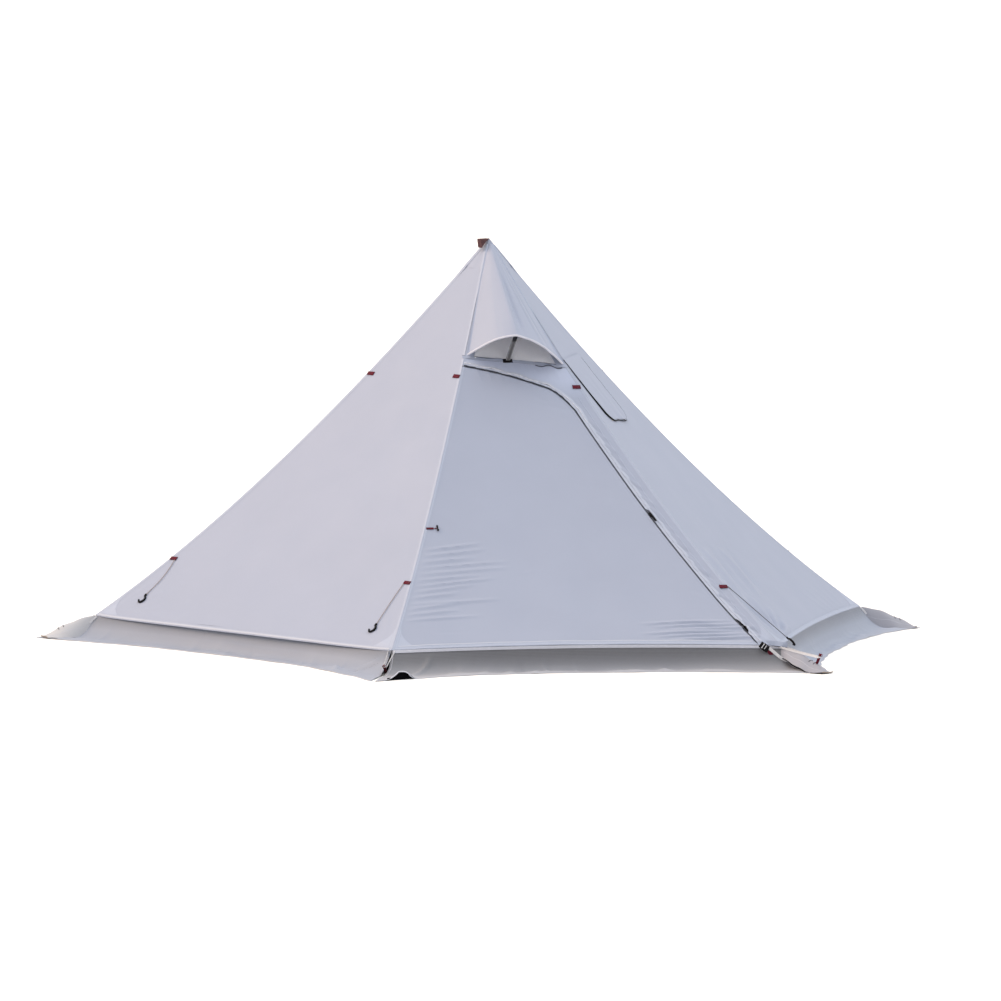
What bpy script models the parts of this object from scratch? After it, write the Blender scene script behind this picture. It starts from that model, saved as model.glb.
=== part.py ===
"""Six-sided floorless camping tent on one telescopic centre pole.

World frame: +Z up, metres, origin on the ground under the apex. The door side faces -Y.
Sides and corners are counted anticlockwise seen from above. Side k lies between corner k and
corner k + 1, and side 0 is the door side. A place on a side is given by its distance along the
hem direction (lateral) and by its share of the way from the apex to the hem (slope).
"""

import math

import bmesh
import bpy
from mathutils import Matrix, Vector

# Canopy
CORNER_RADIUS = 2.15
APEX_HEIGHT = 2.123
HEM_HEIGHT = 0.12
RIDGE_SAG = 0.124
SAG_SKEW = 0.10
HEM_ARCH = 0.011
TOP_HOLE_SLOPE = 0.04
FABRIC = 0.0015
GAP = 0.0004
SLOPE_ROWS = 16
PANEL_COLUMNS = 6
SLOPE_REACH = 0.002

# Vent at the top of the door side
VENT_SLOPE_LEFT = 0.254
VENT_SLOPE_RIGHT = 0.277
LIP_SLOPE_LEFT = 0.246
LIP_SLOPE_RIGHT = 0.268
LIP_RISE = 0.215
LIP_PEAK_SHARE = -0.12
LIP_ROUNDNESS = 1.7
STRUT_WIDTH = 0.026
STRUT_THICKNESS = 0.003
STRUT_LEAN = math.radians(8.0)
STRUT_LATERAL = -0.034
STRUT_SLOPE = 0.2605504
STRUT_TIP_GAP = 0.004
STRUT_ROUNDING = 0.0008
FOOT_LENGTH = 0.054
FOOT_WIDTH = 0.024
FOOT_HEIGHT = 0.006
FOOT_ROUNDING = 0.001
HOOD_COLUMNS = 16
HOOD_STEPS = 8
MESH_COLUMNS = 6
MESH_STEPS = 4

# Door opening in the door side
DOOR_TOP_SLOPE = 0.272
DOOR_TOP_CORNER_LATERAL = 0.126
DOOR_TOP_CORNER_SLOPE = 0.3195
DOOR_TOP_CROWN = 0.004
DOOR_TURN_SLOPE = 0.055
DOOR_TURN_REACH = 0.075
DOOR_TURN_DIP = 0.006
JAMB_WIDTH = 0.122
DOOR_GAP = 0.0016
DOOR_TOP_STEPS = 6
DOOR_ROUNDING = 5
FRAME_COLUMNS = 3
ZIP_TAPE_WIDTH = 0.020
ZIP_TAPE_THICKNESS = 0.0012
ZIP_CLEARANCE = 0.0007
HINGE_LIFT = 0.004

# Zip slider and its pull
SLIDER_SLOPE = 0.628
SLIDER_LENGTH = 0.030
SLIDER_WIDTH = 0.014
SLIDER_HEIGHT = 0.007
SLIDER_CLEARANCE = 0.0008
SLIDER_INSET = 0.001
SLIDER_ROUNDING = 0.0015
SLIDER_REACH = 0.03
PULL_LENGTH = 0.040
PULL_WIDTH = 0.012
PULL_THICKNESS = 0.003
PULL_ROUNDING = 0.0008

# Stove-pipe opening on the right side
JACK_LATERAL = -0.0925
JACK_SLOPE = 0.338
JACK_WIDTH = 0.335
JACK_LENGTH = 0.385
JACK_THICKNESS = 0.002
PIPE_HOLE_WIDTH = 0.120
PIPE_HOLE_LENGTH = 0.180
PIPE_HOLE_MARGIN = 0.020
FLAP_BORDER = 0.025
FLAP_TOP_EXTRA = 0.012
FLAP_CORNER_RADIUS = 0.085
JACK_COLUMNS = 8
JACK_STEPS = 6

# Snow skirt
SKIRT_WIDTH_MIDDLE = 0.13
SKIRT_WIDTH_CORNER = 0.30
SKIRT_WIDTH_DOOR_LEFT = 0.40
SKIRT_CORNER_SLOT = 0.013
SKIRT_RIPPLE = 0.018
SKIRT_RIPPLE_LENGTH = 0.43
SKIRT_COLUMNS = 20

# Webbing loops on the ridges
LOOP_LENGTH = 0.045
LOOP_WIDTH = 0.022
LOOP_THICKNESS = 0.003
LOOP_INSET = 0.002
# Each corner's loops, in the order of CORNER_NAMES.
UPPER_LOOP_SLOPES = (0.295, 0.320, 0.308, 0.308, 0.308, 0.308)
LOWER_LOOP_SLOPES = (0.803, 0.822, 0.81, 0.81, 0.81, 0.81)
TIE_SLOPE = 0.657
TIE_LENGTH = 0.058
TIE_WIDTH = 0.012
TIE_THICKNESS = 0.0025
TIE_INSET = 0.006
TOGGLE_RADIUS = 0.005
TOGGLE_LENGTH = 0.036
TOGGLE_WAIST = 0.75
TOGGLE_WAIST_SHARE = 0.4
# Share of the toggle's radius, share of its half length, from its end inwards.
TOGGLE_SHAPE = ((0.0, 1.0), (0.7, 1.0), (1.0, 0.8))
TOGGLE_SEGMENTS = 10

# Elastic cords with hooks
CORD_RADIUS = 0.0018
CORD_CLEARANCE = 0.0005
HOOK_WIRE_RADIUS = 0.0040
HOOK_LENGTH = 0.062
HOOK_WIDTH = 0.034
CORD_START_SHARE = 0.9
LEFT_CORD_END_SLOPE = 0.922
LEFT_CORD_DRIFT = -0.012
LEFT_CORD_BOW = 0.014
FRONT_CORD_END_SLOPE = 0.928
FRONT_CORD_DRIFT = 0.020
FRONT_CORD_BOW = -0.004
TAUT_CORD_LIFT = 0.003
TAUT_HOOK_REACH = 0.075
TAUT_HOOK_RISE = 0.012
# Share of the hook's half width, share of its length, from the eye to the open end.
HOOK_SHAPE = (
    (0.0, 0.0),
    (0.0, -0.22),
    (0.56, -0.36),
    (0.88, -0.55),
    (0.72, -0.80),
    (0.08, -0.98),
    (-0.72, -0.95),
    (-1.2, -0.74),
)
CORD_POINTS = 14

# Corner straps and pegs
STRAP_WIDTH = 0.014
STRAP_THICKNESS = 0.002
STRAP_PEG_SHARE = 0.9
DOOR_SWING_CLEARANCE = 0.0009
PEG_LENGTH = 0.11
# Each peg's lean in degrees and how far it stands beyond the hem, in the order of CORNER_NAMES.
PEG_LEANS = (58, 25, 70, 60, 60, 70)
PEG_REACH = (0.09, 0.235, 0.08, 0.09, 0.09, 0.10)
PEG_SEAT = 0.75
PEG_FIN = 0.0085
PEG_FIN_THICKNESS = 0.0026
PEG_CORE_RADIUS = 0.00156
PEG_TIP_THINNING = 0.4
# Share of the peg's length, share of its fins' reach, from the tip to the head.
PEG_SECTIONS = ((0.0, 0.25), (0.2, 0.8), (0.93, 1.0), (1.0, 0.9))
SILL_WIDTH = 0.024
SILL_THICKNESS = 0.0018
SILL_DROP = 0.009
SILL_CLEARANCE = 0.0014

# Centre pole
POLE_LOWER_RADIUS = 0.015
POLE_WALL = 0.0015
POLE_RUNNING_GAP = 0.0009
POLE_LOWER_TOP = 1.28
POLE_OVERLAP = 0.35
POLE_FOOT_RADIUS = 0.024
POLE_FOOT_HEIGHT = 0.05
POLE_FOOT_BASE = 0.012
POLE_FOOT_TAPER = 0.003
POLE_FOOT_CHAMFER = 0.002
POLE_TIP_GAP = 0.0006
# Share of the pole's radius, drop below the tip: a low dome.
POLE_TIP_SHAPE = ((0.0, 0.0), (0.55, 0.002), (1.0, 0.012))
POLE_TIP_PLUG = 0.03
COLLAR_HEIGHT = 0.05
COLLAR_WALL = 0.006
LEVER_LENGTH = 0.07
LEVER_WIDTH = 0.016
LEVER_THICKNESS = 0.006
LEVER_ROUNDING = 0.0012
ROUND_SEGMENTS = 20

# Apex cap
CAP_SLOPE = 0.062
CAP_THICKNESS = 0.002
CAP_CLEARANCE = 0.001
CAP_TAB_SLOPE = 0.026
CAP_TAB_THICKNESS = 0.0032
CAP_TAB_LENGTH = 0.05
CAP_TAB_WIDTH = 0.028

SIDE_NAMES = ("front", "right", "back_right", "back", "back_left", "left")
CORNER_NAMES = ("front_left", "front_right", "right", "back_right", "back_left", "left")
FRONT = 0
RIGHT = 1
LEFT = 5
DOOR_HINGE_CORNER = 0
SIDES = 6
SIDE_ANGLE = math.radians(360 / SIDES)
SIDE_DISTANCE = CORNER_RADIUS * math.cos(SIDE_ANGLE / 2)
HALF_SIDE = CORNER_RADIUS * math.sin(SIDE_ANGLE / 2)
UP = Vector((0, 0, 1))

COLOURS = {
    "canopy": ((0.62, 0.63, 0.72), 0.75, 0.0),
    "skirt": ((0.40, 0.41, 0.46), 0.8, 0.0),
    "mesh": ((0.28, 0.29, 0.33), 0.9, 0.0),
    "jack": ((0.55, 0.54, 0.52), 0.85, 0.0),
    "red_webbing": ((0.22, 0.02, 0.04), 0.8, 0.0),
    "white_webbing": ((0.75, 0.76, 0.80), 0.7, 0.0),
    "black_plastic": ((0.012, 0.012, 0.015), 0.5, 0.0),
    "elastic": ((0.45, 0.45, 0.50), 0.7, 0.0),
    "zip": ((0.30, 0.31, 0.36), 0.6, 0.0),
    "peg": ((0.17, 0.012, 0.03), 0.35, 0.8),
    "aluminium": ((0.62, 0.63, 0.65), 0.35, 1.0),
    "rubber": ((0.02, 0.02, 0.02), 0.85, 0.0),
}


def row_slopes():
    """The slope shares where the canopy is straight between: its cloth is modelled in flat strips."""
    return [TOP_HOLE_SLOPE + (1 - TOP_HOLE_SLOPE) * i / SLOPE_ROWS for i in range(SLOPE_ROWS + 1)]


def smooth_height(slope):
    """Height of the stretched cloth: a straight fall with a sag that is deepest a little below halfway."""
    fall = APEX_HEIGHT - (APEX_HEIGHT - HEM_HEIGHT) * slope
    sag = 4 * RIDGE_SAG * slope * (1 - slope) * (1 + SAG_SKEW * (2 * slope - 1))
    return fall - sag


def height(slope):
    """Height of the cloth's inner face, straight between the rows and beyond the first and last."""
    rows = row_slopes()
    step = rows[1] - rows[0]
    index = min(max(int((slope - rows[0]) / step), 0), SLOPE_ROWS - 1)
    low = smooth_height(rows[index])
    high = smooth_height(rows[index + 1])
    return low + (high - low) * (slope - rows[index]) / step


def side_axes(side):
    """Unit vectors out of a side and along its hem."""
    bearing = -math.pi / 2 + SIDE_ANGLE * side
    outward = Vector((math.cos(bearing), math.sin(bearing), 0))
    along = Vector((-outward.y, outward.x, 0))
    return outward, along


def half_width(slope):
    return HALF_SIDE * slope


def side_normal(side, slope):
    outward, _ = side_axes(side)
    fall = (height(slope + SLOPE_REACH) - height(slope - SLOPE_REACH)) / (2 * SLOPE_REACH)
    return (outward * -fall + UP * SIDE_DISTANCE).normalized()


def side_point(side, lateral, slope, lift=0.0):
    """A point on the inner face of a side's cloth, or lifted off it along its normal."""
    outward, along = side_axes(side)
    base = outward * (SIDE_DISTANCE * slope) + along * lateral + UP * height(slope)
    return base + side_normal(side, slope) * lift


def side_matrix(side, lateral, slope, lift=0.0):
    """Axes on a side: X along the hem, Y up the slope, Z out of the cloth."""
    _, along = side_axes(side)
    normal = side_normal(side, slope)
    matrix = Matrix((along, normal.cross(along), normal)).transposed().to_4x4()
    matrix.translation = side_point(side, lateral, slope, lift)
    return matrix


def slope_scale(slope):
    """Metres along the cloth for one whole share of slope, at this place."""
    fall = (height(slope + SLOPE_REACH) - height(slope - SLOPE_REACH)) / (2 * SLOPE_REACH)
    return math.hypot(SIDE_DISTANCE, fall)


def corner_axis(corner):
    """Unit vector from the centre to a corner, in plan."""
    bearing = -math.pi / 2 - SIDE_ANGLE / 2 + SIDE_ANGLE * corner
    return Vector((math.cos(bearing), math.sin(bearing), 0))


def ridge_point(corner, slope):
    return corner_axis(corner) * (CORNER_RADIUS * slope) + UP * height(slope)


def hem_slope(share):
    """The hem rises a little between its corners; share runs from -1 to 1 along it."""
    return 1 - HEM_ARCH * (1 - share * share)


def clear_scene():
    for item in list(bpy.data.objects):
        bpy.data.objects.remove(item, do_unlink=True)
    for group in list(bpy.data.collections):
        bpy.data.collections.remove(group)


def new_collection(name):
    group = bpy.data.collections.new(name)
    bpy.context.scene.collection.children.link(group)
    return group


clear_scene()
PARTS = new_collection("camping_tent")
CUTTERS = new_collection("cutters")


def material_for(node, kind):
    colour, roughness, metallic = COLOURS[kind]
    material = bpy.data.materials.new(node)
    material.use_nodes = True
    shader = material.node_tree.nodes["Principled BSDF"]
    shader.inputs["Base Color"].default_value = (*colour, 1.0)
    shader.inputs["Roughness"].default_value = roughness
    shader.inputs["Metallic"].default_value = metallic
    return material


def add_object(name, data, kind, matrix=None, group=None):
    item = bpy.data.objects.new(name, data)
    (group or PARTS).objects.link(item)
    if matrix is not None:
        item.matrix_world = matrix
    if kind:
        data.materials.append(material_for(name, kind))
    return item


def grid_mesh(name, rows, outward):
    """One quad sheet through rows of points, its faces turned towards outward."""
    mesh = bpy.data.meshes.new(name)
    shape = bmesh.new()
    corners = [[shape.verts.new(point) for point in row] for row in rows]
    for upper, lower in zip(corners, corners[1:]):
        for i in range(len(upper) - 1):
            shape.faces.new((upper[i], upper[i + 1], lower[i + 1], lower[i]))
    shape.normal_update()
    facing = sum((face.normal * face.calc_area() for face in shape.faces), Vector())
    if facing.dot(outward) < 0:
        bmesh.ops.reverse_faces(shape, faces=shape.faces[:])
    shape.to_mesh(mesh)
    shape.free()
    return mesh


def thicken(item, thickness):
    solidify = item.modifiers.new("thickness", "SOLIDIFY")
    solidify.thickness = thickness
    solidify.offset = 1.0
    return solidify


def cloth(name, rows, outward, kind, thickness=FABRIC, origin=None):
    """A sheet of cloth whose inner face passes through the rows of points."""
    matrix = origin or Matrix.Identity(4)
    inverse = matrix.inverted()
    local_rows = [[inverse @ point for point in row] for row in rows]
    mesh = grid_mesh(name, local_rows, inverse.to_3x3() @ outward)
    item = add_object(name, mesh, kind, matrix)
    thicken(item, thickness)
    return item


def block(name, size, matrix, kind, group=None, bevel=0.0):
    """A box of the given size centred on the matrix."""
    mesh = bpy.data.meshes.new(name)
    shape = bmesh.new()
    bmesh.ops.create_cube(shape, size=1.0)
    bmesh.ops.scale(shape, vec=Vector(size), verts=shape.verts[:])
    shape.to_mesh(mesh)
    shape.free()
    item = add_object(name, mesh, kind, matrix, group)
    if bevel:
        rounding = item.modifiers.new("rounding", "BEVEL")
        rounding.width = bevel
        rounding.segments = 2
        rounding.limit_method = "ANGLE"
    return item


def turned(name, profile, matrix, kind, segments=ROUND_SEGMENTS, closed=False):
    """A profile of (radius, height) points, top to bottom on its outer side, turned about Z."""
    mesh = bpy.data.meshes.new(name)
    shape = bmesh.new()
    points = [shape.verts.new((radius, 0, level)) for radius, level in profile]
    for start, end in zip(points, points[1:]):
        shape.edges.new((start, end))
    if closed:
        shape.edges.new((points[-1], points[0]))
    shape.to_mesh(mesh)
    shape.free()
    item = add_object(name, mesh, kind, matrix)
    screw = item.modifiers.new("turn", "SCREW")
    screw.steps = segments
    screw.render_steps = segments
    screw.use_merge_vertices = True
    screw.merge_threshold = 0.00005
    screw.use_normal_calculate = False
    return item


def tube(name, points, radius, kind, resolution=2):
    """A plain round tube through the points, with filled ends."""
    curve = bpy.data.curves.new(name, "CURVE")
    curve.dimensions = "3D"
    curve.bevel_depth = radius
    curve.bevel_resolution = resolution
    curve.use_fill_caps = True
    spline = curve.splines.new("POLY")
    spline.points.add(len(points) - 1)
    for slot, point in zip(spline.points, points):
        slot.co = (*point, 1.0)
    return add_object(name, curve, kind)


def smooth_path(anchors, count):
    """Evenly parted points on a smooth curve through the anchor points."""
    padded = [anchors[0] * 2 - anchors[1], *anchors, anchors[-1] * 2 - anchors[-2]]
    points = []
    spans = len(anchors) - 1
    for i in range(count):
        place = spans * i / (count - 1)
        span = min(int(place), spans - 1)
        u = place - span
        a, b, c, d = padded[span : span + 4]
        points.append(
            (b * 2 + (c - a) * u + (a * 2 - b * 5 + c * 4 - d) * u**2 + (b * 3 - a - c * 3 + d) * u**3) / 2
        )
    return points


def boolean(item, cutter, operation):
    change = item.modifiers.new(operation.lower(), "BOOLEAN")
    change.operation = operation
    change.object = cutter
    change.solver = "EXACT"
    cutter.hide_render = True
    cutter.display_type = "WIRE"
    return change


def edge_inset(slope):
    """Lateral reach of a side's cloth: it stops just short of the ridge line."""
    return half_width(slope) - GAP


def canopy_panel(side):
    rows = []
    for slope in row_slopes():
        row = []
        for i in range(PANEL_COLUMNS + 1):
            share = -1 + 2 * i / PANEL_COLUMNS
            place = hem_slope(share) if slope == 1 else slope
            row.append(side_point(side, share * edge_inset(place), place))
        rows.append(row)
    name = "panel_" + SIDE_NAMES[side]
    return cloth(name, rows, side_normal(side, 0.5), "canopy")


def vent_line(lateral):
    """Slope share of the vent's lower edge at a lateral place on the door side."""
    middle = (VENT_SLOPE_LEFT + VENT_SLOPE_RIGHT) / 2
    tilt = (VENT_SLOPE_RIGHT - VENT_SLOPE_LEFT) / (half_width(VENT_SLOPE_LEFT) + half_width(VENT_SLOPE_RIGHT))
    return middle + tilt * lateral


def door_line():
    """The door zip: across the top from the left ridge, round a corner, then down beside the right ridge.

    Gives (lateral, slope) pairs. The first lies on the left ridge and the last on the hem.
    """
    left = (-half_width(DOOR_TOP_SLOPE), DOOR_TOP_SLOPE)
    corner = (DOOR_TOP_CORNER_LATERAL, DOOR_TOP_CORNER_SLOPE)
    line = []
    for i in range(DOOR_TOP_STEPS):
        share = i / DOOR_TOP_STEPS
        crown = DOOR_TOP_CROWN * 4 * share * (1 - share)
        lateral = left[0] + (corner[0] - left[0]) * share
        line.append((lateral, left[1] + (corner[1] - left[1]) * share - crown))
    turn_end_slope = corner[1] + DOOR_TURN_SLOPE
    turn_end = (half_width(turn_end_slope) - JAMB_WIDTH, turn_end_slope)
    control = (corner[0] + DOOR_TURN_REACH, corner[1] + DOOR_TURN_DIP)
    for i in range(DOOR_ROUNDING + 1):
        u = i / DOOR_ROUNDING
        pair = []
        for start, middle, end in zip(corner, control, turn_end):
            pair.append(start * (1 - u) ** 2 + middle * 2 * u * (1 - u) + end * u * u)
        line.append(tuple(pair))
    last = hem_slope(1 - JAMB_WIDTH / HALF_SIDE)
    for slope in row_slopes():
        if turn_end_slope + DOOR_TURN_SLOPE / 5 < slope < last:
            line.append((half_width(slope) - JAMB_WIDTH, slope))
    line.append((half_width(last) - JAMB_WIDTH, last))
    return line


def offset_line(line, distance):
    """The line moved sideways in the cloth, towards the frame for a positive distance."""
    moved = []
    for i, (lateral, slope) in enumerate(line):
        before = line[max(i - 1, 0)]
        after = line[min(i + 1, len(line) - 1)]
        scale = slope_scale(slope)
        run = Vector((after[0] - before[0], (after[1] - before[1]) * scale)).normalized()
        aside = Vector((run.y, -run.x)) * distance
        moved.append((lateral + aside.x, slope + aside.y / scale))
    return moved


def front_frame():
    """The fixed cloth round the door: the transom under the vent and the jamb beside the right ridge."""
    inner = offset_line(door_line(), DOOR_GAP)
    inner[0] = (-edge_inset(inner[0][1]), inner[0][1])
    inner[-1] = (inner[-1][0], hem_slope(inner[-1][0] / HALF_SIDE))
    turn = DOOR_TOP_STEPS + DOOR_ROUNDING // 2
    turn_end = DOOR_TOP_STEPS + DOOR_ROUNDING
    outer = []
    for i, (_, slope) in enumerate(inner):
        if i <= turn:
            reach = edge_inset(VENT_SLOPE_LEFT) + edge_inset(VENT_SLOPE_RIGHT)
            lateral = -edge_inset(VENT_SLOPE_LEFT) + reach * i / turn
            outer.append((lateral, vent_line(lateral)))
        elif i < turn_end:
            share = (i - turn) / (turn_end - turn)
            slope = VENT_SLOPE_RIGHT + (inner[turn_end][1] - VENT_SLOPE_RIGHT) * share
            outer.append((edge_inset(slope), slope))
        else:
            slope = 1.0 if i == len(inner) - 1 else slope
            outer.append((edge_inset(slope), slope))
    rows = []
    for near, far in zip(inner, outer):
        row = []
        for j in range(FRAME_COLUMNS + 1):
            share = j / FRAME_COLUMNS
            lateral = near[0] + (far[0] - near[0]) * share
            slope = near[1] + (far[1] - near[1]) * share
            row.append(side_point(FRONT, lateral, slope))
        rows.append(row)
    return cloth("front_frame", rows, side_normal(FRONT, 0.5), "canopy")


def door_hinge():
    """Top and bottom of the straight hinge line, just outside the left ridge of the door side."""
    normal = (side_normal(FRONT, 0.6) + side_normal(LEFT, 0.6)).normalized()
    top = ridge_point(DOOR_HINGE_CORNER, DOOR_TOP_SLOPE) + normal * HINGE_LIFT
    bottom = ridge_point(DOOR_HINGE_CORNER, 1.0) + normal * HINGE_LIFT
    return top, bottom


def door_matrix():
    top, bottom = door_hinge()
    along = (bottom - top).normalized()
    across = side_normal(FRONT, 0.6).cross(along).normalized()
    matrix = Matrix((along, across, along.cross(across))).transposed().to_4x4()
    matrix.translation = top
    return matrix


def door_panel():
    edge = offset_line(door_line(), -DOOR_GAP)
    edge[0] = (-edge_inset(edge[0][1]), edge[0][1])
    start = DOOR_TOP_STEPS
    rows = []
    for i in range(start, len(edge)):
        share = (i - start) / (len(edge) - 1 - start)
        slope = edge[0][1] + (1 - edge[0][1]) * share
        left = (-edge_inset(slope), slope)
        right = edge[i]
        row = []
        for j in range(DOOR_TOP_STEPS + 1):
            across = j / DOOR_TOP_STEPS
            lateral = left[0] + (right[0] - left[0]) * across
            place = left[1] + (right[1] - left[1]) * across
            if i == start:
                lateral, place = edge[j]
            if i == len(edge) - 1:
                place = hem_slope(lateral / HALF_SIDE)
            row.append(side_point(FRONT, lateral, place))
        rows.append(row)
    return cloth("door_panel", rows, side_normal(FRONT, 0.5), "canopy", origin=door_matrix())


ZIP_LIFT = FABRIC + ZIP_CLEARANCE


def door_zip():
    near = offset_line(door_line(), DOOR_GAP)[1:]
    far = offset_line(door_line(), DOOR_GAP + ZIP_TAPE_WIDTH)[1:]
    rows = []
    for a, b in zip(near, far):
        rows.append([side_point(FRONT, *a, ZIP_LIFT), side_point(FRONT, *b, ZIP_LIFT)])
    return cloth("door_zip", rows, side_normal(FRONT, 0.5), "zip", ZIP_TAPE_THICKNESS)


def slider_matrix():
    """Axes on the zip beside the door: X along it, downwards, Z out of the cloth."""
    lateral = half_width(SLIDER_SLOPE) - JAMB_WIDTH + DOOR_GAP + SLIDER_WIDTH / 2 + SLIDER_INSET
    low = SLIDER_SLOPE + SLIDER_REACH
    high = SLIDER_SLOPE - SLIDER_REACH
    ahead = side_point(FRONT, half_width(low) - JAMB_WIDTH, low)
    behind = side_point(FRONT, half_width(high) - JAMB_WIDTH, high)
    along = (ahead - behind).normalized()
    normal = side_normal(FRONT, SLIDER_SLOPE)
    normal = (normal - along * normal.dot(along)).normalized()
    matrix = Matrix((along, normal.cross(along), normal)).transposed().to_4x4()
    lift = ZIP_LIFT + ZIP_TAPE_THICKNESS + SLIDER_CLEARANCE
    matrix.translation = side_point(FRONT, lateral, SLIDER_SLOPE, lift)
    return matrix


def zip_slider():
    middle = slider_matrix() @ Matrix.Translation((0, 0, SLIDER_HEIGHT / 2))
    size = (SLIDER_LENGTH, SLIDER_WIDTH, SLIDER_HEIGHT)
    return block("zip_slider", size, middle, "black_plastic", bevel=SLIDER_ROUNDING)


def pull_matrix():
    """The pull's pivot, across the top of the slider near its lower end."""
    lift = SLIDER_HEIGHT + GAP + PULL_THICKNESS / 2
    return slider_matrix() @ Matrix.Translation((SLIDER_LENGTH / 2 - PULL_THICKNESS, 0, lift))


def zip_pull():
    """A flat tab that reaches down the zip from its pivot."""
    size = (PULL_LENGTH, PULL_WIDTH, PULL_THICKNESS)
    item = block("zip_pull", size, pull_matrix(), "black_plastic", bevel=PULL_ROUNDING)
    item.data.transform(Matrix.Translation((PULL_LENGTH / 2, 0, 0)))
    return item


def lip_slope(share):
    return LIP_SLOPE_LEFT + (LIP_SLOPE_RIGHT - LIP_SLOPE_LEFT) * (share + 1) / 2


def lip_arch(share):
    """Rise of the propped lip as a share of its peak; share runs from -1 to 1 across the vent."""
    if share < LIP_PEAK_SHARE:
        away = (LIP_PEAK_SHARE - share) / (LIP_PEAK_SHARE + 1)
    else:
        away = (share - LIP_PEAK_SHARE) / (1 - LIP_PEAK_SHARE)
    return 1 - away**LIP_ROUNDNESS


HOOD_LIFT = FABRIC + GAP


def hood_lift(share, slope):
    return HOOD_LIFT + LIP_RISE * slope / lip_slope(share) * lip_arch(share)


def vent_hood():
    """The cloth cowl over the vent, sewn to both ridges and propped open at its lip."""
    rows = []
    for i in range(HOOD_STEPS + 1):
        row = []
        for j in range(HOOD_COLUMNS + 1):
            share = -1 + 2 * j / HOOD_COLUMNS
            slope = CAP_SLOPE + (lip_slope(share) - CAP_SLOPE) * i / HOOD_STEPS
            lateral = share * (half_width(slope) - 2 * GAP)
            row.append(side_point(FRONT, lateral, slope, hood_lift(share, slope)))
        rows.append(row)
    return cloth("vent_hood", rows, side_normal(FRONT, 0.2), "canopy")


def vent_mesh():
    rows = []
    for i in range(MESH_STEPS + 1):
        row = []
        for j in range(MESH_COLUMNS + 1):
            share = -1 + 2 * j / MESH_COLUMNS
            end_lateral = share * edge_inset((VENT_SLOPE_LEFT + VENT_SLOPE_RIGHT) / 2)
            last = vent_line(end_lateral) - GAP / slope_scale(VENT_SLOPE_LEFT) * 1.5
            slope = TOP_HOLE_SLOPE + (last - TOP_HOLE_SLOPE) * i / MESH_STEPS
            row.append(side_point(FRONT, share * edge_inset(slope), slope))
        rows.append(row)
    return cloth("vent_mesh", rows, side_normal(FRONT, 0.2), "mesh")


def strut_matrix():
    """The strut's pivot on its foot. X lies across, Y up the slope, Z out of the cloth."""
    lift = FABRIC + GAP + FOOT_HEIGHT + GAP + STRUT_THICKNESS / 2
    return side_matrix(FRONT, STRUT_LATERAL, STRUT_SLOPE, lift)


def strut_length():
    """The reach from the pivot to just under the hood, measured along the leaning strut."""
    base = STRUT_SLOPE
    pivot_lift = FABRIC + GAP + FOOT_HEIGHT + GAP + STRUT_THICKNESS / 2
    length = LIP_RISE
    for _ in range(20):
        tip_slope = base - length * math.sin(STRUT_LEAN) / slope_scale(base)
        edge = STRUT_LATERAL + math.copysign(STRUT_WIDTH / 2, STRUT_LATERAL)
        share = edge / half_width(tip_slope)
        length = (hood_lift(share, tip_slope) - pivot_lift - STRUT_TIP_GAP) / math.cos(STRUT_LEAN)
    return length


def vent_strut():
    matrix = strut_matrix() @ Matrix.Rotation(STRUT_LEAN, 4, "X").inverted()
    below = STRUT_THICKNESS / 2
    length = strut_length() + below
    item = block("vent_strut", (STRUT_WIDTH, STRUT_THICKNESS, length), matrix, "mesh", bevel=STRUT_ROUNDING)
    item.data.transform(Matrix.Translation((0, 0, length / 2 - below)))
    return item


def vent_foot():
    lift = FABRIC + GAP + FOOT_HEIGHT / 2
    matrix = side_matrix(FRONT, STRUT_LATERAL, STRUT_SLOPE, lift)
    size = (FOOT_LENGTH, FOOT_WIDTH, FOOT_HEIGHT)
    return block("vent_foot", size, matrix, "black_plastic", bevel=FOOT_ROUNDING)


def pipe_cutter(name, margin):
    """An oval column square to the cloth, for the stove-pipe hole."""
    mesh = bpy.data.meshes.new(name)
    shape = bmesh.new()
    bmesh.ops.create_cone(shape, cap_ends=True, segments=24, radius1=0.5, radius2=0.5, depth=0.1)
    size = Vector((PIPE_HOLE_WIDTH + 2 * margin, PIPE_HOLE_LENGTH + 2 * margin, 1.0))
    bmesh.ops.scale(shape, vec=size, verts=shape.verts[:])
    shape.to_mesh(mesh)
    shape.free()
    return add_object(name, mesh, None, side_matrix(RIGHT, JACK_LATERAL, JACK_SLOPE), CUTTERS)


def jack_rows(width, length, extra_top, lift, corner_radius):
    """Rows of points for a patch centred on the pipe hole, with its lower corners rounded."""
    scale = slope_scale(JACK_SLOPE)
    rows = []
    for i in range(JACK_STEPS + 1):
        row = []
        for j in range(JACK_COLUMNS + 1):
            lateral = -width / 2 + width * j / JACK_COLUMNS
            inside = max(abs(lateral) - (width / 2 - corner_radius), 0.0)
            cut = corner_radius - math.sqrt(max(corner_radius**2 - inside**2, 0.0))
            top = -length / 2 - extra_top
            reach = top + (length - cut + extra_top) * i / JACK_STEPS
            row.append(side_point(RIGHT, JACK_LATERAL + lateral, JACK_SLOPE + reach / scale, lift))
        rows.append(row)
    return rows


JACK_LIFT = FABRIC + GAP
FLAP_LIFT = JACK_LIFT + JACK_THICKNESS + GAP


def stove_jack():
    rows = jack_rows(JACK_WIDTH, JACK_LENGTH, 0.0, JACK_LIFT, 0.0)
    item = cloth("stove_jack", rows, side_normal(RIGHT, 0.3), "jack", JACK_THICKNESS)
    boolean(item, pipe_cutter("pipe_hole", 0.0), "DIFFERENCE")
    return item


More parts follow.
